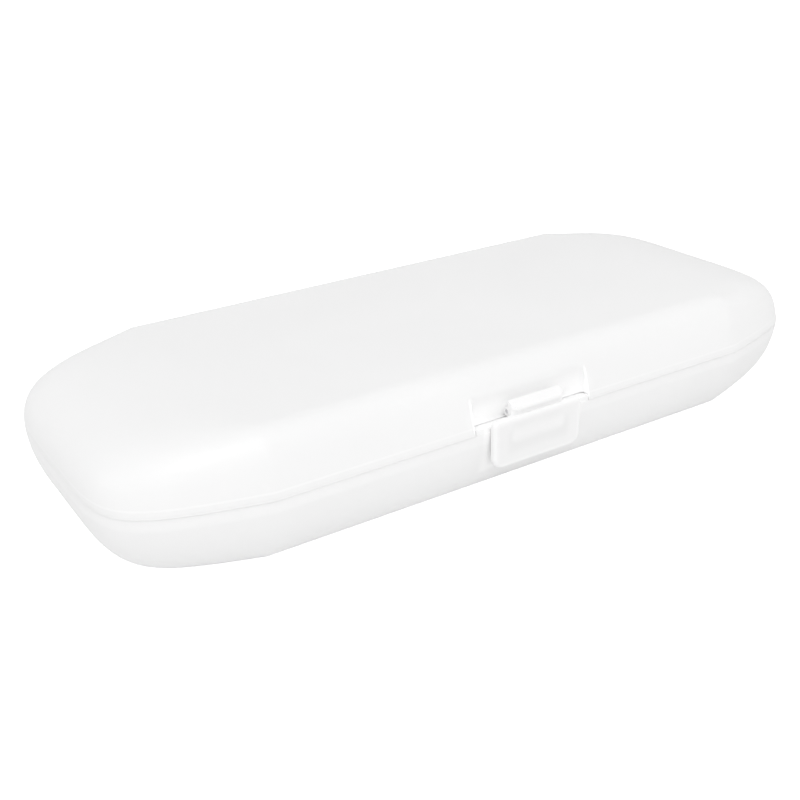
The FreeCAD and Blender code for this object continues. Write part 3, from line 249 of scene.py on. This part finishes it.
# satin grain: the fine spark-eroded texture of a mould, as a height and as a speckle from 0 to 1
satin_grain, taken, given = new_group(
    "satin_grain",
    [("Place", "Vector", None), ("Grain Size", "Float", 0.4 * MM)],
    [("Height", "Float"), ("Speckle", "Float")],
)
per_metre = compute(satin_grain, "DIVIDE", 1.0, taken["Grain Size"])
fine = add_node(
    satin_grain, "ShaderNodeTexNoise",
    {"Vector": taken["Place"], "Scale": per_metre, "Detail": 3.0, "Roughness": 0.6},
).outputs["Fac"]
speckle = spread(satin_grain, fine, 0.0, 1.0, start=0.35, end=0.65, kind="SMOOTHSTEP")
satin_grain.links.new(fine, given["Height"])
satin_grain.links.new(speckle, given["Speckle"])

# cloudy tint: the slow unevenness that flow and cooling leave in moulded plastic, between two colours
cloudy_tint, taken, given = new_group(
    "cloudy_tint",
    [("Place", "Vector", None), ("Cloud Size", "Float", 30 * MM), ("Light Tint", "Color", WHITE),
     ("Dark Tint", "Color", (0.9, 0.9, 0.9, 1))],
    [("Tint", "Color"), ("Cloud", "Float")],
)
per_metre = compute(cloudy_tint, "DIVIDE", 1.0, taken["Cloud Size"])
clouds = add_node(
    cloudy_tint, "ShaderNodeTexNoise",
    {"Vector": taken["Place"], "Scale": per_metre, "Detail": 2.0, "Roughness": 0.45, "Distortion": 0.6},
).outputs["Fac"]
cloud = spread(cloudy_tint, clouds, 0.0, 1.0, start=0.3, end=0.7, kind="SMOOTHSTEP")
tint = tone(cloudy_tint, taken["Dark Tint"], cloud, taken["Light Tint"])
cloudy_tint.links.new(tint, given["Tint"])
cloudy_tint.links.new(cloud, given["Cloud"])

# level band: 1 between two heights and 0 beyond them, with soft edges
level_band, taken, given = new_group(
    "level_band",
    [("Height", "Float", 0.0), ("Bottom", "Float", 0.0), ("Top", "Float", 1.0),
     ("Softness", "Float", 0.5 * MM)],
    [("Mask", "Float")],
)
above = compute(level_band, "ADD", taken["Bottom"], taken["Softness"])
rise = spread(level_band, taken["Height"], 0.0, 1.0, start=taken["Bottom"], end=above, kind="SMOOTHSTEP")
below = compute(level_band, "SUBTRACT", taken["Top"], taken["Softness"])
fall = spread(level_band, taken["Height"], 1.0, 0.0, start=below, end=taken["Top"], kind="SMOOTHSTEP")
level_band.links.new(compute(level_band, "MULTIPLY", rise, fall), given["Mask"])

# framed area: 0 in the middle of an upright oblong and 1 at its edge, with soft rounded corners
framed_area, taken, given = new_group(
    "framed_area",
    [("Place", "Vector", None), ("Centre", "Vector", None), ("Half Size", "Vector", None),
     ("Softness", "Float", 1 * MM)],
    [("Border", "Float"), ("Middle", "Float")],
)
offset = compute_vector(framed_area, "SUBTRACT", taken["Place"], taken["Centre"])[0]
upright = compute_vector(framed_area, "MULTIPLY", offset, (1, 0, 1))[0]
folded = compute_vector(framed_area, "ABSOLUTE", upright)[0]
beyond = compute_vector(framed_area, "SUBTRACT", folded, taken["Half Size"])[0]
clipped = compute_vector(framed_area, "MAXIMUM", beyond)[0]
reach = compute_vector(framed_area, "LENGTH", clipped)["Value"]
border = spread(framed_area, reach, 0.0, 1.0, end=taken["Softness"], kind="SMOOTHSTEP")
framed_area.links.new(border, given["Border"])
framed_area.links.new(compute(framed_area, "SUBTRACT", 1.0, border), given["Middle"])


def use_group(tree, group, inputs):
    return add_node(tree, "ShaderNodeGroup", inputs, node_tree=group).outputs


def cloudy(tree, place, size, light, dark):
    inputs = {"Place": place, "Cloud Size": size, "Light Tint": light, "Dark Tint": dark}
    return use_group(tree, cloudy_tint, inputs)


def grainy(tree, place, size):
    return use_group(tree, satin_grain, {"Place": place, "Grain Size": size})


def axis_of(tree, place, axis):
    return add_node(tree, "ShaderNodeSeparateXYZ", {"Vector": place}).outputs[axis]


def band(tree, along, low, high, softness):
    """A mask that is 1 where a distance along an axis is between two values."""
    inputs = {"Height": along, "Bottom": low, "Top": high, "Softness": softness}
    return use_group(tree, level_band, inputs)["Mask"]


def level(tree, place, low, high, softness):
    """A mask that is 1 between two heights."""
    return band(tree, axis_of(tree, place, "Z"), low, high, softness)


def framed(tree, place, low, high, half_width, softness):
    """The framed area between two heights, and half_width either side of the middle."""
    centre = (0, 0, (low + high) / 2)
    half = (half_width - softness, 0, (high - low) / 2 - softness)
    values = {"Place": place, "Centre": centre, "Half Size": half, "Softness": softness}
    return use_group(tree, framed_area, values)


def feed(tree, shader, values):
    """Links values that change over the surface to the shader's sockets."""
    for key, value in values.items():
        tree.links.new(value, shader.inputs[key])


def raise_surface(tree, shader, height, strength, tall, **settings):
    """Lets a height show as relief."""
    inputs = {"Height": height, "Strength": strength, "Distance": tall}
    bump = add_node(tree, "ShaderNodeBump", inputs, **settings)
    tree.links.new(bump.outputs["Normal"], shader.inputs["Normal"])


FROST_CLOUD = 60 * MM
FROST_GRAIN = 0.35 * MM
FROST_LIGHT = (0.945, 0.945, 0.945, 1)
FROST_DARK = (0.92, 0.92, 0.92, 1)
FROST_ROUGH = (0.36, 0.46)


def frosted_finish(name):
    """Frosted polypropylene: cloudy white, satin grain, and light that soaks a little way in."""
    material, tree, shader, place = new_finish(
        name, Subsurface_Weight=0.3, Subsurface_Scale=1.2 * MM, Subsurface_Radius=(1.0, 1.0, 1.0),
        Specular_IOR_Level=0.45,
    )
    clouds = cloudy(tree, place, FROST_CLOUD, FROST_LIGHT, FROST_DARK)
    grain = grainy(tree, place, FROST_GRAIN)
    raise_surface(tree, shader, grain["Height"], strength=0.12, tall=0.05 * MM)
    feed(tree, shader, {"Roughness": spread(tree, grain["Speckle"], *FROST_ROUGH)})
    return material, tree, shader, place, clouds["Tint"]


rim_z = joints["lid_hinge"]["pos_m"][2]
foremost = cad_box[0].y
DOUBLE_WALL = (0.965, 0.965, 0.965, 1)
DOUBLE_WALL_BELOW = 3.6 * MM             # under the rim
DOUBLE_WALL_ABOVE = 4.0 * MM             # past the tongue's top
DOUBLE_WALL_EDGE = 1.4 * MM
PAINTED_GLOW_LIT = 0.11              # how strongly the painted glow lifts the shade round the clasp, in place of light from inside through the walls
GLOW_BELOW = 12.5 * MM       # under the rim
GLOW_ABOVE = 5.0 * MM
GLOW_HALF = 16.0 * MM
GLOW_EDGE = 2.0 * MM
GLOW_START = 8.0 * MM        # behind the case's foremost point
GLOW_END = 12.0 * MM
BEHIND_PLATE = 0.5           # of the full painted glow, in the shade behind the clasp's plate


def painted_glow(tree, shader, mask):
    """Painted glow where a mask is 1: a weak emission that lifts the shade, in place of light coming
    through a thin wall.
    """
    tree.links.new(mask, shader.inputs["Emission Color"])
    shader.inputs["Emission Strength"].default_value = PAINTED_GLOW_LIT


lower_shell = merged_copy("base_shell", "lower_shell")
round_edges(lower_shell, width=0.07 * MM)
frosted_base, tree, shader, place, colour = frosted_finish("frosted_base")
doubled = level(tree, place, rim_z - DOUBLE_WALL_BELOW, rim_z + DOUBLE_WALL_ABOVE, DOUBLE_WALL_EDGE)
feed(tree, shader, {"Base Color": tone(tree, colour, doubled, DOUBLE_WALL)})
# painted glow: a weak emission lifts the shade on the base behind the clasp's plate
behind = framed(tree, place, rim_z - GLOW_BELOW, rim_z + GLOW_ABOVE, GLOW_HALF, GLOW_EDGE)
front = spread(
    tree, axis_of(tree, place, "Y"), 0.0, 1.0, start=foremost + GLOW_END, end=foremost + GLOW_START,
)
faint = compute(tree, "MULTIPLY", behind["Middle"], front)
painted_glow(tree, shader, compute(tree, "MULTIPLY", faint, BEHIND_PLATE))
finish_piece(lower_shell, frosted_base, "base", "frosted_shell", "base_shell")

# ---- Upper shell ------------------------------------------------------------------------
# The lid, in the same frosted polypropylene. A thin painted highlight runs along its cut lower edge, and
# the base's tongue shows through just above it. A painted glow lifts the shade in the clasp's recess, with
# painted highlights at its two ends.
TONGUE_LINE = (0.965, 0.965, 0.965, 1)
TONGUE_LINE_LOW = 1.5 * MM   # above the rim
TONGUE_LINE_HIGH = 2.3 * MM
TONGUE_LINE_EDGE = 0.35 * MM
CUT_EDGE_HIGHLIGHT = (0.99, 0.99, 0.99, 1)
CUT_EDGE_BELOW = 1.0 * MM    # under the rim, past the lid's own edge
CUT_EDGE_HIGH = 0.55 * MM
CUT_EDGE_FADE = 0.3 * MM

RECESS_BELOW = 11.0 * MM     # under the rim, past the lid's own edge
RECESS_HIGH = 9.0 * MM       # above it
RECESS_HALF = 17.5 * MM
RECESS_ASIDE = 3.0 * MM      # how far the glow reaches past the recess's ends
RECESS_FADE = 6.0 * MM
RECESS_FRONT = 2.5 * MM      # from the case's foremost point to the start of the recess
RECESS_BACK = 5.5 * MM
RECESS_DEPTH_EDGE = 0.8 * MM
CHEEK_HIGHLIGHT = WHITE
CHEEK_INSIDE = 0.3 * MM      # the painted highlight at each end of the recess, either side of its end wall
CHEEK_OUTSIDE = 0.5 * MM
CHEEK_EDGE = 0.25 * MM
CHEEK_FADE = 1.5 * MM

upper_shell = merged_copy("lid_shell", "upper_shell")
round_edges(upper_shell, width=0.1 * MM)
frosted_lid, tree, shader, place, colour = frosted_finish("frosted_lid")
line = level(tree, place, rim_z + TONGUE_LINE_LOW, rim_z + TONGUE_LINE_HIGH, TONGUE_LINE_EDGE)
colour = tone(tree, colour, line, TONGUE_LINE)
# painted highlight: a thin bright line along the lid's lower edge
edge = level(tree, place, rim_z - CUT_EDGE_BELOW, rim_z + CUT_EDGE_HIGH, CUT_EDGE_FADE)
colour = tone(tree, colour, edge, CUT_EDGE_HIGHLIGHT)
# painted glow: a weak emission lifts the shade in the clasp's recess, and its two end strips get a painted
# highlight, white and glowing
recess = framed(
    tree, place, rim_z - RECESS_BELOW, rim_z + RECESS_HIGH, RECESS_HALF + RECESS_ASIDE, RECESS_FADE,
)
deep = band(
    tree, axis_of(tree, place, "Y"), foremost + RECESS_FRONT, foremost + RECESS_BACK, RECESS_DEPTH_EDGE,
)
aside = compute(tree, "ABSOLUTE", axis_of(tree, place, "X"))
end_strip = band(tree, aside, RECESS_HALF - CHEEK_INSIDE, RECESS_HALF + CHEEK_OUTSIDE, CHEEK_EDGE)
low_part = level(tree, place, rim_z, rim_z + RECESS_HIGH, CHEEK_FADE)
cheek_highlights = compute(tree, "MULTIPLY", end_strip, low_part)
feed(tree, shader, {"Base Color": tone(tree, colour, cheek_highlights, CHEEK_HIGHLIGHT)})
inside = compute(tree, "MULTIPLY", recess["Middle"], deep)
painted_glow(tree, shader, compute(tree, "MAXIMUM", inside, cheek_highlights))
finish_piece(upper_shell, frosted_lid, "lid", "frosted_shell", "lid_shell")

# ---- Clasp ------------------------------------------------------------------------------
# One frosted moulding: a plate, a thin neck and a thumb bar. It rocks on a pin in the lid, and its plate
# hooks under a wedge on the base, which shows through the plate as a pale patch with a painted highlight
# for its lit face and a ring of painted shade round it. The plate's thick edges get a painted highlight,
# and the whole clasp is toned darker with painted shade for the shaded gap behind the plate.
PLATE_SHADE = (0.90, 0.90, 0.90, 1)
PLATE_SHADE_SHARE = 0.7            # of that painted shade in the frosted colour, over the whole clasp
PLATE_LOW = 9.9 * MM         # below the rim
PLATE_HIGH = 2.9 * MM        # above it
PLATE_HALF = 13.4 * MM
BORDER_HIGHLIGHT = (0.985, 0.985, 0.985, 1)
BORDER_WIDE = 1.9 * MM
PATCH_HIGHLIGHT = (0.97, 0.97, 0.97, 1)            # painted highlight where the wedge's lit face shows through the plate from behind
PATCH_LOW = 4.6 * MM         # below the rim
PATCH_HIGH = 0.8 * MM        # above it
PATCH_HALF = 9.0 * MM
PATCH_EDGE = 2.4 * MM
RING_SHADE = (0.875, 0.875, 0.875, 1)          # painted shade in the gap round the wedge
RING_LOW = 7.6 * MM
RING_HIGH = 0.4 * MM
RING_HALF = 10.5 * MM
RING_EDGE = 2.6 * MM

clasp_piece = merged_copy("clasp", "clasp_moulding")
round_edges(clasp_piece, width=0.12 * MM)
frosted_clasp, tree, shader, place, colour = frosted_finish("frosted_clasp")
# painted shade over the whole clasp, for the shaded gap behind the plate
colour = tone(tree, colour, PLATE_SHADE_SHARE, PLATE_SHADE)
ring_shade = framed(tree, place, rim_z - RING_LOW, rim_z + RING_HIGH, RING_HALF, RING_EDGE)
colour = tone(tree, colour, ring_shade["Middle"], RING_SHADE)
patch_highlight = framed(tree, place, rim_z - PATCH_LOW, rim_z + PATCH_HIGH, PATCH_HALF, PATCH_EDGE)
colour = tone(tree, colour, patch_highlight["Middle"], PATCH_HIGHLIGHT)
# painted highlight along the plate's thick edges
plate = framed(tree, place, rim_z - PLATE_LOW, rim_z + PLATE_HIGH, PLATE_HALF, BORDER_WIDE)
feed(tree, shader, {"Base Color": tone(tree, colour, plate["Border"], BORDER_HIGHLIGHT)})
finish_piece(clasp_piece, frosted_clasp, "clasp", "frosted_clasp", "clasp")

# ---- Pins of the hinge and the clasp ------------------------------------------------------
# Cut from drawn steel wire, 1.6 and 1.2 mm thick, with faint lines along them from the die. Each
# set of hinge knuckles has its own pin, and the clasp's pin sits in a lug on the lid.

# drawn lines: fine scratches that run one way, as a height and as a shade from 0 to 1
drawn_lines, taken, given = new_group(
    "drawn_lines",
    [("Place", "Vector", None), ("Lines", "Vector", (40, 4000, 4000))],
    [("Height", "Float"), ("Shade", "Float")],
)
stretched = compute_vector(drawn_lines, "MULTIPLY", taken["Place"], taken["Lines"])[0]
streaks = add_node(
    drawn_lines, "ShaderNodeTexNoise",
    {"Vector": stretched, "Scale": 1.0, "Detail": 3.0, "Roughness": 0.55},
).outputs["Fac"]
drawn_lines.links.new(streaks, given["Height"])
drawn_lines.links.new(spread(drawn_lines, streaks, 0.0, 1.0, start=0.3, end=0.7), given["Shade"])


def metal_finish(name, light, dark, lines, rough):
    """Bare metal between two colours, with drawn lines in its colour, its gloss and its surface."""
    material, tree, shader, place = new_finish(name, Metallic=1.0)
    streak = use_group(tree, drawn_lines, {"Place": place, "Lines": lines})
    feed(tree, shader, {
        "Base Color": tone(tree, dark, streak["Shade"], light),
        "Roughness": spread(tree, streak["Shade"], rough[1], rough[0]),
    })
    raise_surface(tree, shader, streak["Height"], strength=0.15, tall=0.02 * MM)
    return material


def dress(material, *names):
    """Gives CAD pieces that keep their own shape their finish."""
    for name in names:
        for slot in nodes[name].material_slots:
            slot.material = material


drawn_steel = metal_finish(
    "drawn_steel", light=(0.74, 0.74, 0.75, 1), dark=(0.58, 0.58, 0.60, 1),
    lines=(40, 4000, 4000), rough=(0.22, 0.36),
)
dress(drawn_steel, "hinge_pins", "clasp_pin")

# ---- Brush tray -------------------------------------------------------------------------
# A white insert in moulded polypropylene that lies loose in the base, with three saddle ribs for
# the handle. Brushes rub the saddles smooth, so their hollows shine a little more.
MOULD_CLOUD = 22 * MM


def moulded_finish(name, light, dark, grain_size, rough, soak=0.08):
    """Opaque moulded plastic: slow cloudiness, a fine grain, and a gloss that follows the grain."""
    material, tree, shader, place = new_finish(name, Subsurface_Weight=soak, Subsurface_Scale=0.8 * MM)
    clouds = cloudy(tree, place, MOULD_CLOUD, light, dark)
    grain = grainy(tree, place, grain_size)
    raise_surface(tree, shader, grain["Height"], strength=0.2, tall=0.05 * MM)
    return material, tree, shader, place, clouds["Tint"], spread(tree, grain["Speckle"], *rough)


def polished(tree, sheen, mask, rough):
    """A roughness that goes to another value where a mask is 1."""
    inputs = {"Factor": mask, "A": sheen, "B": rough}
    return add_node(tree, "ShaderNodeMix", inputs, data_type="FLOAT").outputs["Result"]


HOLLOW_LOW = 6.0 * MM
HOLLOW_TOP = 15.0 * MM
HOLLOW_EDGE = 4.0 * MM
RUBBED_ROUGH = 0.3

tray = merged_copy("brush_tray", "brush_tray_moulding")
round_edges(tray, width=0.25 * MM)
tray_white, tree, shader, place, colour, sheen = moulded_finish(
    "tray_white", light=(0.93, 0.93, 0.92, 1), dark=(0.885, 0.885, 0.87, 1),
    grain_size=0.5 * MM, rough=(0.34, 0.5),
)
rubbed = level(tree, place, HOLLOW_LOW, HOLLOW_TOP, HOLLOW_EDGE)
feed(tree, shader, {"Base Color": colour, "Roughness": polished(tree, sheen, rubbed, RUBBED_ROUGH)})
finish_piece(tray, tray_white, "base", "tray_white", "brush_tray")

# ---- Reflector --------------------------------------------------------------------------
# A strip of rolled bright aluminium that lies under the brush's head. It is bent once, and throws
# the lamps' light back on the bristles.
rolled_aluminium = metal_finish(
    "rolled_aluminium", light=(0.93, 0.93, 0.94, 1), dark=(0.86, 0.86, 0.88, 1),
    lines=(60, 1500, 1500), rough=(0.06, 0.16),
)
dress(rolled_aluminium, "tray_reflector")

# ---- Lamp module's housing, cover and battery door --------------------------------------
# White mouldings with a fine grain. The cover is held by four screws, and the door slides under two
# rails and has three finger ribs, which thumbs have polished.
MODULE_ROUGH = (0.42, 0.58)
MODULE_GRAIN = 0.35 * MM

module_white, tree, shader, place, colour, sheen = moulded_finish(
    "module_white", light=(0.92, 0.92, 0.91, 1), dark=(0.87, 0.87, 0.855, 1),
    grain_size=MODULE_GRAIN, rough=MODULE_ROUGH,
)
feed(tree, shader, {"Base Color": colour, "Roughness": sheen})
for node, name, width in (
    ("module_housing", "housing_moulding", 0.25 * MM), ("module_cover", "cover_moulding", 0.2 * MM),
):
    moulding = merged_copy(node, name)
    round_edges(moulding, width)
    finish_piece(moulding, module_white, "base", "module_white", node)

POLISH = (0.95, 0.95, 0.94, 1)
POLISH_TALL = 0.5 * MM       # down from the ribs' tops
POLISH_EDGE = 0.2 * MM
POLISH_ROUGH = 0.25

door = merged_copy("battery_door", "door_moulding")
round_edges(door, width=0.15 * MM)
door_white, tree, shader, place, colour, sheen = moulded_finish(
    "door_white", light=(0.91, 0.915, 0.91, 1), dark=(0.86, 0.865, 0.855, 1),
    grain_size=MODULE_GRAIN, rough=MODULE_ROUGH,
)
door_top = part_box("battery_door")[1][2]
ribs = level(tree, place, door_top - POLISH_TALL, door_top + POLISH_TALL, POLISH_EDGE)
feed(tree, shader, {
    "Base Color": tone(tree, colour, ribs, POLISH),
    "Roughness": polished(tree, sheen, ribs, POLISH_ROUGH),
})
finish_piece(door, door_white, "battery_door", "module_white", "battery_door")

# ---- Button and light guide -------------------------------------------------------------
# The button is a soft grey cap with a smooth top. The light guide is a clear acrylic pin that
# carries the status light up through the cover.
BUTTON_TOP = (0.64, 0.69, 0.72, 1)
BUTTON_TOP_TALL = 0.3 * MM
BUTTON_TOP_ROUGH = 0.3
ABOVE_BUTTON = 1.0 * MM

button = merged_copy("cycle_button", "button_moulding")
round_edges(button, width=0.15 * MM)
button_grey, tree, shader, place, colour, sheen = moulded_finish(
    "button_grey", light=(0.60, 0.65, 0.68, 1), dark=(0.54, 0.59, 0.62, 1),
    grain_size=0.25 * MM, rough=(0.4, 0.55),
)
button_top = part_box("cycle_button")[1][2]
pressed = level(tree, place, button_top - BUTTON_TOP_TALL, button_top + ABOVE_BUTTON, BUTTON_TOP_TALL)
feed(tree, shader, {
    "Base Color": tone(tree, colour, pressed, BUTTON_TOP),
    "Roughness": polished(tree, sheen, pressed, BUTTON_TOP_ROUGH),
})
finish_piece(button, button_grey, "cycle_button", "button_grey", "cycle_button")

BLOOM_CLOUD = 4 * MM


def clear_finish(name, light, dark, ior, rough):
    """Clear plastic or quartz, with a faint bloom on its surface."""
    material, tree, shader, place = new_finish(name, Transmission_Weight=1.0, IOR=ior)
    clouds = cloudy(tree, place, BLOOM_CLOUD, light, dark)
    feed(tree, shader, {
        "Base Color": clouds["Tint"],
        "Roughness": spread(tree, clouds["Cloud"], *rough),
    })
    return material


acrylic_pin = clear_finish(
    "acrylic_pin", light=(0.97, 0.98, 0.98, 1), dark=(0.93, 0.95, 0.96, 1), ior=1.49, rough=(0.05, 0.14),
)
dress(acrylic_pin, "light_guide")

# ---- Battery cells ----------------------------------------------------------------------
# Two AAA cells in plain two-tone shrink sleeves, with their flat ends at opposite ends of the bay.
# The steel of the can shows at both ends, past the sleeve.
CAN_LONG = 44.0 * MM
CAN_LINES = (3000, 300, 300)
CAN_LIGHT = (0.75, 0.75, 0.75, 1)
CAN_DARK = (0.6, 0.6, 0.61, 1)
SLEEVE_SHORT = 0.9 * MM      # bare steel at each end of the can
SLEEVE_EDGE = 0.1 * MM
SLEEVE_CLOUD = 9 * MM
SLEEVE = (0.16, 0.30, 0.38, 1)
SLEEVE_WORN = (0.20, 0.35, 0.43, 1)
SLEEVE_ROUGH = (0.22, 0.34)
BAND = (0.72, 0.74, 0.74, 1)
BAND_LONG = 12.0 * MM

for name, toward in (("battery_cell_front", 1), ("battery_cell_rear", -1)):
    low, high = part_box(name)
    flat_end = low[0] if toward > 0 else high[0]
    first, last = (flat_end + toward * reach for reach in (SLEEVE_SHORT, CAN_LONG - SLEEVE_SHORT))
    sleeve, tree, shader, place = new_finish("sleeve_of_" + name, Coat_Weight=0.4, Coat_Roughness=0.1)
    clouds = cloudy(tree, place, SLEEVE_CLOUD, SLEEVE_WORN, SLEEVE)
    along = axis_of(tree, place, "X")
    banded = band(tree, along, *sorted((last - toward * BAND_LONG, last)), SLEEVE_EDGE)
    covered = band(tree, along, *sorted((first, last)), SLEEVE_EDGE)
    streak = use_group(tree, drawn_lines, {"Place": place, "Lines": CAN_LINES})
    steel = tone(tree, CAN_DARK, streak["Shade"], CAN_LIGHT)
    feed(tree, shader, {
        "Base Color": tone(tree, steel, covered, tone(tree, clouds["Tint"], banded, BAND)),
        "Metallic": compute(tree, "SUBTRACT", 1.0, covered),
        "Roughness": spread(tree, clouds["Cloud"], *SLEEVE_ROUGH),
    })
    dress(sleeve, name)

# ---- Springs, contact plates and magnet -------------------------------------------------
# Spring wire, stamped strip and a sintered disc. All are nickel plated, which gives them a warmer
# colour than steel and hides which way they were rolled.
nickel = metal_finish(
    "nickel_plate", light=(0.80, 0.78, 0.74, 1), dark=(0.68, 0.66, 0.62, 1),
    lines=(900, 900, 900), rough=(0.16, 0.3),
)
dress(nickel, "battery_springs", "terminal_plates", "bridge_plate", "lid_magnet")

# ---- Circuit board and lamp board -------------------------------------------------------
# Fibreglass with a white mask over copper tracks, which stand up slightly under it. The lamps sit
# on a board of their own, on aluminium, whose cut edges stay bare.
TRACK_PITCH = 5              # from one track to the next, in track widths
TRACK_EDGE = (0.05, 0.09)    # where a track ends and where the bare mask starts, as shares of that
BOARD_GRAIN = 0.3 * MM
BOARD_ROUGH = (0.28, 0.4)


def tracked_board(name, light, dark, track_width, core):
    """A board between two mask colours, with tracks under the mask and a core colour at its edges."""
    material, tree, shader, place = new_finish(name)
    turned = add_node(tree, "ShaderNodeMapping", {"Vector": place, "Rotation": (0, 0, math.radians(45))})
    cells = add_node(
        tree, "ShaderNodeTexVoronoi",
        {"Vector": turned.outputs[0], "Scale": 1 / (TRACK_PITCH * track_width)}, feature="DISTANCE_TO_EDGE",
    ).outputs["Distance"]
    open_mask = spread(tree, cells, 0.0, 1.0, *TRACK_EDGE, kind="SMOOTHSTEP")
    facing = add_node(tree, "ShaderNodeNewGeometry").outputs["Normal"]
    side = compute(tree, "ABSOLUTE", axis_of(tree, facing, "X"))
    grain = grainy(tree, place, BOARD_GRAIN)
    feed(tree, shader, {
        "Base Color": tone(tree, tone(tree, dark, open_mask, light), side, core),
        "Roughness": spread(tree, grain["Speckle"], *BOARD_ROUGH),
    })
    raise_surface(tree, shader, open_mask, strength=0.3, tall=0.05 * MM, invert=True)
    return material


main_board = tracked_board(
    "main_board", light=(0.86, 0.88, 0.86, 1), dark=(0.74, 0.79, 0.74, 1),
    track_width=0.5 * MM, core=(0.62, 0.60, 0.42, 1),
)
dress(main_board, "circuit_board")
aluminium_board = tracked_board(
    "aluminium_board", light=(0.9, 0.9, 0.9, 1), dark=(0.8, 0.8, 0.8, 1),
    track_width=0.7 * MM, core=(0.7, 0.7, 0.71, 1),
)
dress(aluminium_board, "lamp_board")

# ---- Pieces on the board ----------------------------------------------------------------
# A moulded control chip with tinned legs, a coil wound on ferrite, two capacitors in sleeves with
# bare tops, a reed sensor, a small switch with a pale plunger, and the status light.
TIN = (0.76, 0.76, 0.75, 1)
EPOXY = (0.035, 0.035, 0.038, 1)
EPOXY_WORN = (0.055, 0.055, 0.058, 1)
PACKAGE_CLOUD = 2 * MM
PACKAGE_GRAIN = 0.15 * MM
PACKAGE_ROUGH = (0.32, 0.5)
PACKAGE_EDGE = 0.02 * MM
PAST_END = 1 * MM            # takes a body's colour past the end of the piece


def packaged(name, body, axis, ends, outside, metal):
    """A moulded body between two places along an axis, with another colour, metal or not, outside them."""
    material, tree, shader, place = new_finish(name)
    clouds = cloudy(tree, place, PACKAGE_CLOUD, *body)
    grain = grainy(tree, place, PACKAGE_GRAIN)
    within = band(tree, axis_of(tree, place, axis), *ends, PACKAGE_EDGE)
    feed(tree, shader, {
        "Base Color": tone(tree, outside, within, clouds["Tint"]),
        "Metallic": spread(tree, within, metal, 0.0),
        "Roughness": spread(tree, grain["Speckle"], *PACKAGE_ROUGH),
    })
    raise_surface(tree, shader, grain["Height"], strength=0.15, tall=0.03 * MM)
    return material


LEG_OUT = 1.1 * MM
low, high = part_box("control_chip")
ends = (low[1] + LEG_OUT, high[1] - LEG_OUT)
dress(packaged("chip_package", (EPOXY_WORN, EPOXY), "Y", ends, TIN, metal=1.0), "control_chip")

FLANGE = 0.8 * MM
COPPER = (0.70, 0.36, 0.20, 1)
COPPER_DARK = (0.52, 0.25, 0.14, 1)
FERRITE = (0.09, 0.09, 0.10, 1)
low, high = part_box("boost_coil")
ends = (low[2] + FLANGE, high[2] - FLANGE)
dress(packaged("coil_winding", (COPPER, COPPER_DARK), "Z", ends, FERRITE, metal=0.0), "boost_coil")

BARE_TOP = 0.35 * MM
CAN_SLEEVE = (0.10, 0.12, 0.16, 1)
low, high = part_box("storage_capacitors")
ends = (low[2] - PAST_END, high[2] - BARE_TOP)
dress(packaged("can_sleeve", (CAN_SLEEVE, EPOXY), "Z", ends, TIN, metal=1.0), "storage_capacitors")

SENSOR_END = 0.8 * MM
CREAM = (0.83, 0.81, 0.74, 1)
CREAM_DARK = (0.77, 0.75, 0.67, 1)
low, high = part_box("reed_sensor")
ends = (low[0] + SENSOR_END, high[0] - SENSOR_END)
dress(packaged("sensor_package", (CREAM, CREAM_DARK), "X", ends, TIN, metal=1.0), "reed_sensor")

PLUNGER_TALL = 0.75 * MM
low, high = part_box("tact_switch")
ends = (low[2] - PAST_END, high[2] - PLUNGER_TALL)
dress(packaged("switch_body", (EPOXY_WORN, EPOXY), "Z", ends, CREAM, metal=0.0), "tact_switch")

LED_END = 0.35 * MM
LED_RESIN = (0.90, 0.88, 0.62, 1)
low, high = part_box("status_led")
ends = (low[0] + LED_END, high[0] - LED_END)
dress(packaged("led_package", (LED_RESIN, CREAM), "X", ends, TIN, metal=1.0), "status_led")

# ---- Lamps, window and wires ------------------------------------------------------------
# Each lamp is a pale ceramic square with a clear dome over a gilt pad. A quartz window closes the
# pod in front of them, and two wires in silicone sleeves bring their current from the main board.
DOME_TALL = 0.75 * MM
GILT = (0.80, 0.66, 0.34, 1)
CERAMIC = (0.88, 0.87, 0.83, 1)
low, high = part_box("lamp_leds")
ends = (low[1] + DOME_TALL, high[1] + PAST_END)
dress(packaged("lamp_package", (CERAMIC, CREAM), "Y", ends, GILT, metal=0.6), "lamp_leds")

quartz = clear_finish(
    "quartz_window", light=(0.96, 0.97, 0.98, 1), dark=(0.93, 0.95, 0.97, 1), ior=1.46, rough=(0.02, 0.07),
)
dress(quartz, "lamp_window")

silicone_sleeve, tree, shader, place, colour, sheen = moulded_finish(
    "silicone_sleeve", light=(0.82, 0.82, 0.80, 1), dark=(0.72, 0.72, 0.70, 1),
    grain_size=0.2 * MM, rough=(0.45, 0.6),
)
feed(tree, shader, {"Base Color": colour, "Roughness": sheen})
dress(silicone_sleeve, "lamp_wires")

# ---- Hold-down pads ---------------------------------------------------------------------
# Two blocks of soft translucent silicone glued under the lid, hollowed to the brush's handle. Their
# skin is dull and slightly uneven in colour.
pads = merged_copy("hold_down_pads", "pad_mouldings")
round_edges(pads, width=0.4 * MM, segments=3)
soft_silicone, tree, shader, place, colour, sheen = moulded_finish(
    "soft_silicone", light=(0.88, 0.88, 0.87, 1), dark=(0.81, 0.81, 0.80, 1),
    grain_size=0.3 * MM, rough=(0.58, 0.74), soak=0.4,
)
feed(tree, shader, {"Base Color": colour, "Roughness": sheen})
finish_piece(pads, soft_silicone, "lid", "pad_rubber", "hold_down_pads")

# ---- Screws -----------------------------------------------------------------------------
# Small pan-head screws with a cross slot that hold the module's cover, the module and the circuit
# board. They are zinc plated, which is a little bluish and unevenly dull.
zinc = metal_finish(
    "zinc_plate", light=(0.72, 0.73, 0.75, 1), dark=(0.58, 0.59, 0.62, 1),
    lines=(1400, 1400, 500), rough=(0.24, 0.42),
)
dress(zinc, "cover_screws", "module_screws", "board_screws")
